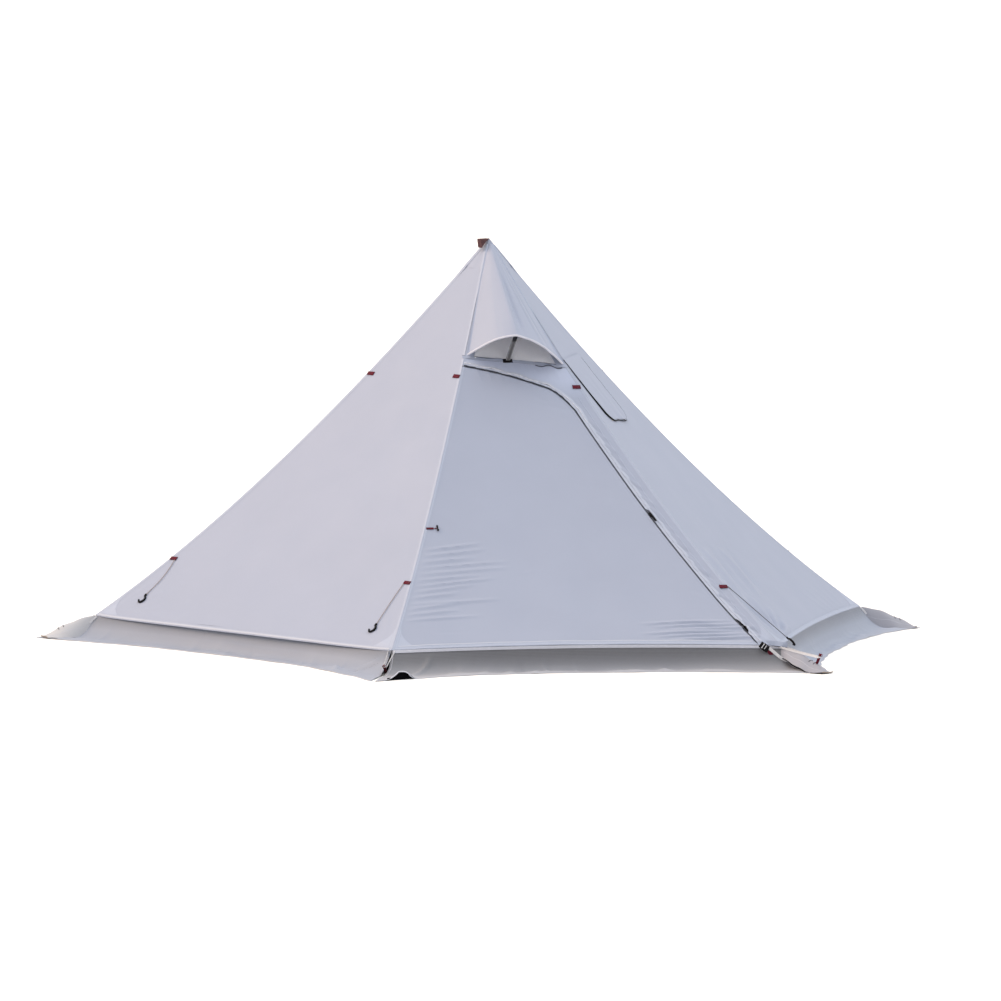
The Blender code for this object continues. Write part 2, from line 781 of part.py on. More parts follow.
def flap_matrix():
    """The flap's hinge: its top edge, just above the cloth."""
    scale = slope_scale(JACK_SLOPE)
    slope = JACK_SLOPE - (JACK_LENGTH / 2 + FLAP_BORDER + FLAP_TOP_EXTRA) / scale
    return side_matrix(RIGHT, JACK_LATERAL, slope, FLAP_LIFT + FABRIC)


def stove_jack_flap():
    width = JACK_WIDTH + 2 * FLAP_BORDER
    length = JACK_LENGTH + 2 * FLAP_BORDER
    rows = jack_rows(width, length, FLAP_TOP_EXTRA, FLAP_LIFT, FLAP_CORNER_RADIUS)
    return cloth("stove_jack_flap", rows, side_normal(RIGHT, 0.3), "canopy", origin=flap_matrix())


CAP_LIFT = FABRIC + CAP_CLEARANCE


def cap_top():
    """Height of the peak of the apex cap's inner face."""
    return APEX_HEIGHT + CAP_LIFT / side_normal(FRONT, CAP_SLOPE / 2).z


def apex_cap():
    """A small six-sided cowl over the canopy's top hole, with a pull tab to its left."""
    mesh = bpy.data.meshes.new("apex_cap")
    shape = bmesh.new()
    raise_by = cap_top() - APEX_HEIGHT
    top = shape.verts.new((0, 0, cap_top()))
    rings = []
    for slope in (CAP_SLOPE / 2, CAP_SLOPE):
        ring = []
        for corner in range(SIDES):
            ring.append(shape.verts.new(ridge_point(corner, slope) + UP * raise_by))
        rings.append(ring)
    for i in range(SIDES):
        j = (i + 1) % SIDES
        shape.faces.new((top, rings[0][i], rings[0][j]))
        shape.faces.new((rings[0][i], rings[1][i], rings[1][j], rings[0][j]))
    bmesh.ops.recalc_face_normals(shape, faces=shape.faces[:])
    shape.normal_update()
    if shape.faces[0].normal.z < 0:
        bmesh.ops.reverse_faces(shape, faces=shape.faces[:])
    shape.to_mesh(mesh)
    shape.free()
    item = add_object("apex_cap", mesh, "canopy")
    thicken(item, CAP_THICKNESS)
    tab_matrix = side_matrix(LEFT, 0.0, CAP_TAB_SLOPE, CAP_LIFT + CAP_THICKNESS)
    size = (CAP_TAB_WIDTH, CAP_TAB_LENGTH, CAP_TAB_THICKNESS)
    tab = block("cap_tab", size, tab_matrix, None, CUTTERS)
    boolean(item, tab, "UNION")
    return item


def skirt_width(side, share):
    """How far the skirt spreads over the ground, from the middle of a side to its corners."""
    corner = SKIRT_WIDTH_CORNER
    if side == FRONT and share < 0 or side == LEFT and share > 0:
        corner = SKIRT_WIDTH_DOOR_LEFT
    return SKIRT_WIDTH_MIDDLE + (corner - SKIRT_WIDTH_MIDDLE) * abs(share) ** 3


# Share of the skirt's spread, share of the hem's height: a short drop, then flat on the ground.
SKIRT_PROFILE = ((0.0, 1.0), (0.12, 0.62), (0.26, 0.28), (0.42, 0.07), (0.58, 0.0), (0.8, 0.0), (1.0, 0.0))


def skirt_row(side, spread, rise, lift=0.0):
    """Points across a skirt at one level of its fall, or lifted off it square to its first slope."""
    outward, along = side_axes(side)
    row = []
    for i in range(SKIRT_COLUMNS + 1):
        share = -1 + 2 * i / SKIRT_COLUMNS
        hem = hem_slope(share)
        width = skirt_width(side, share)
        distance = SIDE_DISTANCE * hem + width * spread
        reach = HALF_SIDE * distance / SIDE_DISTANCE - GAP - SKIRT_CORNER_SLOT * min(spread * 4, 1)
        wave = 0.5 - 0.5 * math.cos(2 * math.pi * share * HALF_SIDE / SKIRT_RIPPLE_LENGTH + side)
        top = height(hem) - 2 * GAP
        level = top * rise + SKIRT_RIPPLE * wave * spread**2
        (first_spread, first_rise), (next_spread, next_rise) = SKIRT_PROFILE[:2]
        fall = Vector((top * (first_rise - next_rise), width * (next_spread - first_spread))).normalized()
        away = outward * (fall.x * lift) + UP * (fall.y * lift)
        row.append(outward * distance + along * (share * reach) + UP * level + away)
    return row


def snow_skirt(side):
    """The strip of cloth under the hem. It falls to the ground, then lies on it in low waves."""
    outward, _ = side_axes(side)
    rows = [skirt_row(side, spread, rise) for spread, rise in SKIRT_PROFILE]
    return cloth("skirt_" + SIDE_NAMES[side], rows, UP + outward * 0.3, "skirt")


def loop_side(corner):
    """The side that a corner's loops fold over to, and the sign of its lateral axis there."""
    if CORNER_NAMES[corner] in ("left", "right"):
        return corner, -1
    return (corner - 1) % SIDES, 1


def ridge_loop(name, corner, slope):
    """A doubled webbing tab sewn into the ridge and folded flat on the cloth beside it."""
    side, sign = loop_side(corner)
    lateral = sign * (half_width(slope) - LOOP_LENGTH / 2 - LOOP_INSET)
    matrix = side_matrix(side, lateral, slope, FABRIC + 2 * GAP + LOOP_THICKNESS / 2)
    return block(name, (LOOP_LENGTH, LOOP_WIDTH, LOOP_THICKNESS), matrix, "red_webbing")


def tie_slope_matrix(lift):
    lateral = -half_width(TIE_SLOPE) + TIE_LENGTH / 2 + TIE_INSET
    return side_matrix(FRONT, lateral, TIE_SLOPE, lift)


def tie_back_loop():
    matrix = tie_slope_matrix(FABRIC + GAP + TIE_THICKNESS / 2)
    return block("tie_back_loop", (TIE_LENGTH, TIE_WIDTH, TIE_THICKNESS), matrix, "red_webbing")


def toggle_matrix():
    """The toggle's pivot, at the free end of its loop and halfway through the webbing."""
    return tie_slope_matrix(FABRIC + GAP + TIE_THICKNESS / 2) @ Matrix.Translation((TIE_LENGTH / 2, 0, 0))


def tie_back_toggle():
    """A bar with a thin waist that lies across the end of the loop."""
    half = TOGGLE_LENGTH / 2
    waist = TOGGLE_RADIUS * TOGGLE_WAIST
    upper = [(radius * TOGGLE_RADIUS, level * half) for radius, level in TOGGLE_SHAPE]
    upper.append((waist, half * TOGGLE_WAIST_SHARE))
    profile = upper + [(radius, -level) for radius, level in reversed(upper)]
    pivot = add_object("toggle_pivot", None, None, toggle_matrix())
    beside = Matrix.Translation((waist + GAP, 0, TOGGLE_RADIUS - TIE_THICKNESS / 2))
    lie_down = Matrix.Rotation(-math.pi / 2, 4, "X")
    place = toggle_matrix() @ beside @ lie_down
    item = turned("tie_back_toggle", profile, place, "black_plastic", TOGGLE_SEGMENTS)
    item.parent = pivot
    item.matrix_parent_inverse = toggle_matrix().inverted()
    return item


CORD_LIFT = FABRIC + 2 * GAP + CORD_CLEARANCE + HOOK_WIRE_RADIUS


def hook_points(matrix):
    """A flat S-shaped wire hook: an eye at the top and an open hook at the bottom."""
    path = [matrix @ Vector((x * HOOK_WIDTH / 2, y * HOOK_LENGTH, 0)) for x, y in HOOK_SHAPE]
    return smooth_path(path, CORD_POINTS)


def hanging_cord(label, side, start, end, bow):
    """An elastic cord that hangs from a loop down the cloth, and the hook on its end."""
    anchors = []
    for i in range(5):
        share = i / 4
        lateral = start[0] + (end[0] - start[0]) * share + bow * math.sin(math.pi * share)
        slope = start[1] + (end[1] - start[1]) * share
        anchors.append(side_point(side, lateral, slope, CORD_LIFT))
    cord = tube("hook_cord_" + label, smooth_path(anchors, CORD_POINTS), CORD_RADIUS, "elastic")
    matrix = side_matrix(side, end[0], end[1] + GAP / slope_scale(end[1]), CORD_LIFT)
    hook = tube("cord_hook_" + label, hook_points(matrix), HOOK_WIRE_RADIUS, "black_plastic")
    return cord, hook


def loop_cord_start(corner):
    """Lateral and slope place just below the middle of a corner's lower loop."""
    _, sign = loop_side(corner)
    slope = LOWER_LOOP_SLOPES[corner]
    lateral = sign * (half_width(slope) - LOOP_LENGTH * CORD_START_SHARE)
    return lateral, slope + (LOOP_WIDTH / 2 + GAP) / slope_scale(slope)


def taut_cord():
    """The cord at the door side's right corner, pulled straight from its loop's end to beside the peg."""
    corner = CORNER_NAMES.index("front_right")
    slope = LOWER_LOOP_SLOPES[corner]
    lateral = half_width(slope) - LOOP_INSET + GAP + CORD_RADIUS
    start = side_point(FRONT, lateral, slope, FABRIC + TAUT_CORD_LIFT)
    outward, _ = side_axes(RIGHT)
    tip = ridge_point(corner, 1.0) + outward * TAUT_HOOK_REACH + UP * TAUT_HOOK_RISE
    run = (tip - start).normalized()
    end = tip - run * HOOK_LENGTH
    tube("hook_cord_front_right", [start.lerp(end, i / 5) for i in range(6)], CORD_RADIUS, "elastic")
    across = run.cross(outward).normalized()
    matrix = Matrix((across, -run, across.cross(-run))).transposed().to_4x4()
    matrix.translation = end + run * GAP
    tube("cord_hook_front_right", hook_points(matrix), HOOK_WIRE_RADIUS, "black_plastic")


def hook_cords():
    start = loop_cord_start(CORNER_NAMES.index("left"))
    end = (start[0] + LEFT_CORD_DRIFT, LEFT_CORD_END_SLOPE)
    hanging_cord("left", LEFT, start, end, LEFT_CORD_BOW)
    start = loop_cord_start(CORNER_NAMES.index("front_left"))
    end = (start[0] + FRONT_CORD_DRIFT, FRONT_CORD_END_SLOPE)
    hanging_cord("front_left", LEFT, start, end, FRONT_CORD_BOW)
    taut_cord()


def peg_matrix(corner):
    """The peg's tip on the ground. Z runs up along the peg, which leans away from the tent."""
    outward = corner_axis(corner)
    lean = math.radians(PEG_LEANS[corner])
    along = (outward * math.sin(lean) + UP * math.cos(lean)).normalized()
    across = UP.cross(outward).normalized()
    matrix = Matrix((across, along.cross(across), along)).transposed().to_4x4()
    rise = GAP + PEG_FIN * PEG_SECTIONS[0][1] * PEG_SEAT * math.sin(lean)
    matrix.translation = outward * (CORNER_RADIUS + PEG_REACH[corner]) + UP * rise
    return matrix


def peg(corner):
    """A stake with three fins that taper to a point."""
    name = "peg_" + CORNER_NAMES[corner]
    mesh = bpy.data.meshes.new(name)
    shape = bmesh.new()
    sections = []
    for share, size in PEG_SECTIONS:
        ring = []
        lift = UP * (PEG_LENGTH * share)
        for fin in range(3):
            angle = math.pi / 2 + fin * 2 * math.pi / 3
            out = Vector((math.cos(angle), math.sin(angle), 0)) * (PEG_FIN * size)
            side = out.cross(UP).normalized() * (-PEG_FIN_THICKNESS / 2 * max(size, PEG_TIP_THINNING))
            turn = angle + math.pi / 3
            valley = Vector((math.cos(turn), math.sin(turn), 0)) * (PEG_CORE_RADIUS * size)
            ring += [shape.verts.new(point + lift) for point in (out - side, out + side, valley)]
        sections.append(ring)
    for low, high in zip(sections, sections[1:]):
        for i in range(len(low)):
            j = (i + 1) % len(low)
            shape.faces.new((low[i], low[j], high[j], high[i]))
    shape.faces.new(list(reversed(sections[0])))
    shape.faces.new(sections[-1])
    shape.to_mesh(mesh)
    shape.free()
    return add_object(name, mesh, "peg", peg_matrix(corner))


def corner_strap(corner):
    """The webbing that ties a hem corner down to its peg."""
    outward = corner_axis(corner)
    across = UP.cross(outward)
    hem = side_normal(corner % SIDES, 1.0).dot(outward) * FABRIC
    clearance = DOOR_SWING_CLEARANCE if corner == DOOR_HINGE_CORNER else GAP
    start = ridge_point(corner, 1.0) + outward * (hem + clearance) + UP * (1.5 * GAP)
    end = peg_matrix(corner) @ Vector((0, PEG_FIN + GAP, PEG_LENGTH * STRAP_PEG_SHARE))
    run = (end - start).normalized()
    normal = across.cross(run)
    if normal.z < 0:
        normal = -normal
    matrix = Matrix((run, normal.cross(run), normal)).transposed().to_4x4()
    matrix.translation = (start + end) / 2 + normal * (STRAP_THICKNESS / 2)
    size = ((end - start).length, STRAP_WIDTH, STRAP_THICKNESS)
    return block("corner_strap_" + CORNER_NAMES[corner], size, matrix, "white_webbing")


def sill_strap():
    """Webbing across the foot of the doorway, on the top of the front skirt."""
    outward, _ = side_axes(FRONT)
    (top_spread, top_rise), (low_spread, low_rise) = SKIRT_PROFILE[:2]
    length = math.hypot(SKIRT_WIDTH_MIDDLE * low_spread, HEM_HEIGHT * (top_rise - low_rise))
    rows = []
    for along in (SILL_DROP, SILL_DROP + SILL_WIDTH):
        share = along / length
        spread = top_spread + (low_spread - top_spread) * share
        rise = top_rise + (low_rise - top_rise) * share
        rows.append(skirt_row(FRONT, spread, rise, FABRIC + SILL_CLEARANCE))
    return cloth("sill_strap", rows, outward, "white_webbing", SILL_THICKNESS)


def pole_tip_height(radius):
    """Height of the tip of a pole of this radius, seated under the sloping apex cap."""
    peak = cap_top()
    ring = CAP_SLOPE / 2
    fall = (APEX_HEIGHT - height(ring)) / (SIDE_DISTANCE * ring)
    seats = [peak - fall * share * radius + drop for share, drop in POLE_TIP_SHAPE]
    return min(seats) - POLE_TIP_GAP


def pole():
    foot_inner = POLE_LOWER_RADIUS + GAP
    foot = [
        (foot_inner, POLE_FOOT_HEIGHT),
        (POLE_FOOT_RADIUS - POLE_FOOT_TAPER, POLE_FOOT_HEIGHT),
        (POLE_FOOT_RADIUS, 2 * POLE_FOOT_CHAMFER),
        (POLE_FOOT_RADIUS - POLE_FOOT_CHAMFER, 0.0),
        (0.0, 0.0),
        (0.0, POLE_FOOT_BASE),
        (foot_inner, POLE_FOOT_BASE),
    ]
    turned("pole_foot", foot, Matrix.Identity(4), "rubber", closed=True)
    bore = POLE_LOWER_RADIUS - POLE_WALL
    collar = POLE_LOWER_RADIUS + COLLAR_WALL
    collar_base = POLE_LOWER_TOP - COLLAR_HEIGHT
    bottom = POLE_FOOT_BASE + GAP
    lower = [
        (bore, POLE_LOWER_TOP),
        (collar, POLE_LOWER_TOP),
        (collar, collar_base),
        (POLE_LOWER_RADIUS, collar_base),
        (POLE_LOWER_RADIUS, bottom),
        (bore, bottom),
    ]
    turned("pole_lower", lower, Matrix.Identity(4), "aluminium", closed=True)
    outer = bore - POLE_RUNNING_GAP
    inner = outer - POLE_WALL
    tip = pole_tip_height(outer)
    start = POLE_LOWER_TOP - POLE_OVERLAP
    upper = [(share * outer, tip - drop) for share, drop in POLE_TIP_SHAPE]
    upper += [(outer, start), (inner, start), (inner, tip - POLE_TIP_PLUG), (0.0, tip - POLE_TIP_PLUG)]
    turned("pole_upper", upper, Matrix.Identity(4), "aluminium")
    pivot = Matrix.Translation((collar + GAP + LEVER_THICKNESS / 2, 0, POLE_LOWER_TOP - LEVER_THICKNESS))
    size = (LEVER_THICKNESS, LEVER_WIDTH, LEVER_LENGTH)
    lever = block("pole_clamp_lever", size, pivot, "black_plastic", bevel=LEVER_ROUNDING)
    lever.data.transform(Matrix.Translation((0, 0, -LEVER_LENGTH / 2)))


def build():
    for side in range(1, SIDES):
        panel = canopy_panel(side)
        if side == RIGHT:
            boolean(panel, pipe_cutter("pipe_clearance", PIPE_HOLE_MARGIN), "DIFFERENCE")
    front_frame()
    door_panel()
    door_zip()
    zip_slider()
    zip_pull()
    vent_mesh()
    vent_hood()
    vent_foot()
    vent_strut()
    stove_jack()
    stove_jack_flap()
    apex_cap()
    for side in range(SIDES):
        snow_skirt(side)
    for corner in range(SIDES):
        ridge_loop("upper_loop_" + CORNER_NAMES[corner], corner, UPPER_LOOP_SLOPES[corner])
        ridge_loop("lower_loop_" + CORNER_NAMES[corner], corner, LOWER_LOOP_SLOPES[corner])
        peg(corner)
        corner_strap(corner)
    tie_back_loop()
    tie_back_toggle()
    hook_cords()
    sill_strap()
    pole()


build()
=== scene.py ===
"""The looks of a six-sided camping tent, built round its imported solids.

World frame: +Z up, metres, origin on the ground under the apex. The door side faces -Y.
Sides and corners are counted anticlockwise seen from above. Side k lies between corner k and
corner k + 1, and side 0 is the door side. A place on a side is its distance along the hem
direction (lateral) and its share of the way from the apex to the hem (slope).
"""

import math

import bmesh
import bpy
import numpy as np
from mathutils import Matrix, Vector


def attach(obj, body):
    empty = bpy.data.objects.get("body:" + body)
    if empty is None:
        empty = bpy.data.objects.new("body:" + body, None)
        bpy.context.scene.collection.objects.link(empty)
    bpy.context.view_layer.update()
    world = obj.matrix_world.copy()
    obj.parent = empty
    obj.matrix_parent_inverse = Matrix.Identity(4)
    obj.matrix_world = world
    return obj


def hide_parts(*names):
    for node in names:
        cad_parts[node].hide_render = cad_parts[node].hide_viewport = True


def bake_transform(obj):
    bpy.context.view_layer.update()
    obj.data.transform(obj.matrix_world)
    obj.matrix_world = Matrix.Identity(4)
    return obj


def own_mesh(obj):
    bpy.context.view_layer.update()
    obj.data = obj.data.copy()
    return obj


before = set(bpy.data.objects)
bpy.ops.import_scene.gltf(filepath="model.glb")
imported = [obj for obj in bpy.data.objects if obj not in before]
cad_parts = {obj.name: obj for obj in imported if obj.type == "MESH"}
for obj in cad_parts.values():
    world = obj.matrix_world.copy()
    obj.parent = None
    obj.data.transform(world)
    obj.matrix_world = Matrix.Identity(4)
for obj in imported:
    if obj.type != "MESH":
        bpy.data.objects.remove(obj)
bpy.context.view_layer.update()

# Canopy, as the solids have it
CORNER_RADIUS = 2.15
APEX_HEIGHT = 2.123
HEM_HEIGHT = 0.12
RIDGE_SAG = 0.124
SAG_SKEW = 0.10
HEM_ARCH = 0.011
TOP_HOLE_SLOPE = 0.04
FABRIC = 0.0015
GAP = 0.0004
CLOTH = 0.001
CLOTH_BASE = FABRIC - CLOTH

# Vent
VENT_SLOPE_LEFT = 0.254
VENT_SLOPE_RIGHT = 0.277
VENT_MIDDLE = (VENT_SLOPE_LEFT + VENT_SLOPE_RIGHT) / 2
LIP_SLOPE_LEFT = 0.246
LIP_SLOPE_RIGHT = 0.268
LIP_RISE = 0.215
LIP_PEAK_SHARE = -0.12
LIP_ROUNDNESS = 1.7
STRUT_WIDTH = 0.026
STRUT_THICKNESS = 0.003
STRUT_LEAN = math.radians(8.0)
STRUT_LATERAL = -0.034
STRUT_SLOPE = 0.2605504
STRUT_TIP_GAP = 0.004
FOOT_LENGTH = 0.054
FOOT_WIDTH = 0.024
FOOT_HEIGHT = 0.006

# Door and zip
DOOR_TOP_SLOPE = 0.272
DOOR_TOP_CORNER_LATERAL = 0.126
DOOR_TOP_CORNER_SLOPE = 0.3195
DOOR_TOP_CROWN = 0.004
DOOR_TURN_SLOPE = 0.055
DOOR_TURN_REACH = 0.075
DOOR_TURN_DIP = 0.006
JAMB_WIDTH = 0.122
DOOR_GAP = 0.0016
ZIP_TAPE_WIDTH = 0.020
ZIP_TAPE_THICKNESS = 0.0012
ZIP_CLEARANCE = 0.0007
ZIP_LIFT = FABRIC + ZIP_CLEARANCE
TAPE_TOP = ZIP_LIFT + ZIP_TAPE_THICKNESS
SLIDER_SLOPE = 0.628
SLIDER_LENGTH = 0.030
SLIDER_WIDTH = 0.014
SLIDER_HEIGHT = 0.007
SLIDER_CLEARANCE = 0.0008
SLIDER_INSET = 0.001
SLIDER_REACH = 0.03
PULL_LENGTH = 0.040
PULL_WIDTH = 0.012
PULL_THICKNESS = 0.003

# Stove-pipe opening
JACK_LATERAL = -0.0925
JACK_SLOPE = 0.338
JACK_WIDTH = 0.335
JACK_LENGTH = 0.385
JACK_THICKNESS = 0.002
PIPE_HOLE_WIDTH = 0.120
PIPE_HOLE_LENGTH = 0.180
PIPE_HOLE_MARGIN = 0.020
FLAP_BORDER = 0.025
FLAP_TOP_EXTRA = 0.012
FLAP_CORNER_RADIUS = 0.085

# Snow skirt
SKIRT_WIDTH_MIDDLE = 0.13
SKIRT_WIDTH_CORNER = 0.30
SKIRT_WIDTH_DOOR_LEFT = 0.40
SKIRT_CORNER_SLOT = 0.013
SKIRT_RIPPLE = 0.018
SKIRT_RIPPLE_LENGTH = 0.43
SKIRT_PROFILE = ((0.0, 1.0), (0.12, 0.62), (0.26, 0.28), (0.42, 0.07), (0.58, 0.0), (0.8, 0.0), (1.0, 0.0))

# Webbing
LOOP_LENGTH = 0.045
LOOP_WIDTH = 0.022
LOOP_THICKNESS = 0.003
LOOP_INSET = 0.002
# Each corner's loops, in the order of CORNER_NAMES.
UPPER_LOOP_SLOPES = (0.295, 0.320, 0.308, 0.308, 0.308, 0.308)
LOWER_LOOP_SLOPES = (0.803, 0.822, 0.81, 0.81, 0.81, 0.81)
TIE_SLOPE = 0.657
TIE_LENGTH = 0.058
TIE_WIDTH = 0.012
TIE_THICKNESS = 0.0025
TIE_INSET = 0.006
TOGGLE_RADIUS = 0.005
TOGGLE_LENGTH = 0.036
STRAP_WIDTH = 0.014
DOOR_SWING_CLEARANCE = 0.0009
SILL_WIDTH = 0.024
SILL_THICKNESS = 0.0018
SILL_DROP = 0.009
SILL_CLEARANCE = 0.0014

# Cords and hooks
CORD_RADIUS = 0.0018
CORD_CLEARANCE = 0.0005
HOOK_WIRE_RADIUS = 0.0040
HOOK_LENGTH = 0.062
HOOK_WIDTH = 0.034
CORD_START_SHARE = 0.9
LEFT_CORD_END_SLOPE = 0.922
LEFT_CORD_DRIFT = -0.012
LEFT_CORD_BOW = 0.014
FRONT_CORD_END_SLOPE = 0.928
FRONT_CORD_DRIFT = 0.020
FRONT_CORD_BOW = -0.004
TAUT_CORD_LIFT = 0.003
TAUT_HOOK_REACH = 0.075
TAUT_HOOK_RISE = 0.012
HOOK_SHAPE = (
    (0.0, 0.0),
    (0.0, -0.22),
    (0.56, -0.36),
    (0.88, -0.55),
    (0.72, -0.80),
    (0.08, -0.98),
    (-0.72, -0.95),
    (-1.2, -0.74),
)
CORD_LIFT = FABRIC + 2 * GAP + CORD_CLEARANCE + HOOK_WIRE_RADIUS
CORD_POINTS = 14

# Pegs
PEG_LENGTH = 0.11
PEG_LEANS = (58, 25, 70, 60, 60, 70)
PEG_REACH = (0.09, 0.235, 0.08, 0.09, 0.09, 0.10)
PEG_SEAT = 0.75
PEG_FIN = 0.0085
PEG_FIN_THICKNESS = 0.0026
PEG_CORE_RADIUS = 0.00156

# Apex cap
CAP_SLOPE = 0.062
CAP_THICKNESS = 0.002
CAP_CLEARANCE = 0.001
CAP_TAB_WIDTH = 0.028
CAP_LIFT = FABRIC + CAP_CLEARANCE

SIDE_NAMES = ("front", "right", "back_right", "back", "back_left", "left")
CORNER_NAMES = ("front_left", "front_right", "right", "back_right", "back_left", "left")
FRONT = 0
RIGHT = 1
LEFT = 5
SIDES = 6
SIDE_ANGLE = math.radians(360 / SIDES)
SIDE_DISTANCE = CORNER_RADIUS * math.cos(SIDE_ANGLE / 2)
HALF_SIDE = CORNER_RADIUS * math.sin(SIDE_ANGLE / 2)
SLOPE_LENGTH = 2.75
UP = np.array((0.0, 0.0, 1.0))

# Camera, fitted to the photograph
IMAGE_SIZE = 1001
FOCAL_LENGTH_PIXELS = 16022.5
SENSOR = 36.0
CAMERA_TARGET = (0.08158, -0.05267, 0.71936)
CAMERA_AZIMUTH = math.radians(-17.668)
CAMERA_ELEVATION = math.radians(5.571)
CAMERA_ROLL = math.radians(1.2456)
CAMERA_DISTANCE = 86.0


# Places on the tent

def height(slope):
    """Height of the stretched cloth's inner face."""
    slope = np.asarray(slope, float)
    fall = APEX_HEIGHT - (APEX_HEIGHT - HEM_HEIGHT) * slope
    return fall - 4 * RIDGE_SAG * slope * (1 - slope) * (1 + SAG_SKEW * (2 * slope - 1))


def side_axes(side):
    bearing = -math.pi / 2 + SIDE_ANGLE * side
    outward = np.array((math.cos(bearing), math.sin(bearing), 0.0))
    along = np.array((-outward[1], outward[0], 0.0))
    return outward, along


def half_width(slope):
    return HALF_SIDE * slope


def fall_rate(slope):
    step = 0.002
    return (height(slope + step) - height(slope - step)) / (2 * step)


def slope_scale(slope):
    """Metres along the cloth for one whole share of slope."""
    return np.hypot(SIDE_DISTANCE, fall_rate(slope))


def side_normal(side, slope):
    outward, _ = side_axes(side)
    slope = np.asarray(slope, float)
    normal = outward * -fall_rate(slope)[..., None] + UP * SIDE_DISTANCE
    return normal / np.linalg.norm(normal, axis=-1, keepdims=True)


def side_point(side, lateral, slope, lift=0.0):
    """Points on the inner face of a side's cloth, or lifted off it along its normal."""
    outward, along = side_axes(side)
    lateral, slope, lift = np.broadcast_arrays(
        np.asarray(lateral, float), np.asarray(slope, float), np.asarray(lift, float)
    )
    base = outward * (SIDE_DISTANCE * slope)[..., None] + along * lateral[..., None]
    base = base + UP * height(slope)[..., None]
    return base + side_normal(side, slope) * lift[..., None]


def axes_matrix(x, y, z, origin):
    """A matrix with these axes and this origin."""
    matrix = Matrix((Vector(x), Vector(y), Vector(z))).transposed().to_4x4()
    matrix.translation = Vector(origin)
    return matrix


def shifted(matrix, place):
    """The matrix moved to a place given along its own axes."""
    return matrix @ Matrix.Translation(place)


def side_matrix(side, lateral, slope, lift=0.0):
    """Axes on a side: X along the hem, Y up the slope, Z out of the cloth."""
    along = Vector(side_axes(side)[1])
    normal = Vector(side_normal(side, slope))
    return axes_matrix(along, normal.cross(along), normal, side_point(side, lateral, slope, lift))


def corner_axis(corner):
    bearing = -math.pi / 2 - SIDE_ANGLE / 2 + SIDE_ANGLE * corner
    return np.array((math.cos(bearing), math.sin(bearing), 0.0))


def ridge_point(corner, slope):
    slope = np.asarray(slope, float)
    return corner_axis(corner) * (CORNER_RADIUS * slope)[..., None] + UP * height(slope)[..., None]


def hem_slope(share):
    return 1 - HEM_ARCH * (1 - share * share)


def unit(vector):
    return vector / np.linalg.norm(vector)


def smooth(value):
    """A soft step from 0 to 1."""
    value = np.clip(value, 0.0, 1.0)
    return value * value * (3 - 2 * value)


def smooth_path(anchors, count):
    """Evenly parted points on a smooth curve through the anchor points."""
    anchors = [np.asarray(anchor, float) for anchor in anchors]
    padded = [anchors[0] * 2 - anchors[1], *anchors, anchors[-1] * 2 - anchors[-2]]
    points = []
    spans = len(anchors) - 1
    for i in range(count):
        place = spans * i / (count - 1)
        span = min(int(place), spans - 1)
        u = place - span
        a, b, c, d = padded[span : span + 4]
        points.append(
            (b * 2 + (c - a) * u + (a * 2 - b * 5 + c * 4 - d) * u**2 + (b * 3 - a - c * 3 + d) * u**3) / 2
        )
    return np.array(points)


def travel(points):
    """How far along a line each of its points lies."""
    return np.concatenate(([0.0], np.cumsum(np.linalg.norm(np.diff(points, axis=0), axis=1))))


def tangents(path):
    run = np.gradient(path, axis=0)
    return run / np.linalg.norm(run, axis=1, keepdims=True)


def resample(points, count):
    """The same line with its points evenly parted."""
    points = np.asarray(points, float)
    travelled = travel(points)
    wanted = np.linspace(0, travelled[-1], count)
    return np.stack([np.interp(wanted, travelled, points[:, k]) for k in range(points.shape[1])], axis=1)


def pair(first, second):
    """Two grids of values side by side, as places on the weave."""
    return np.stack(np.broadcast_arrays(first, second), axis=-1)


def gauss(value, middle, width):
    return np.exp(-(((value - middle) / width) ** 2))


# Folds in the cloth

SWELL_DEPTH = 0.004
RIDGE_CALM = 0.045
HEM_CALM = 0.05


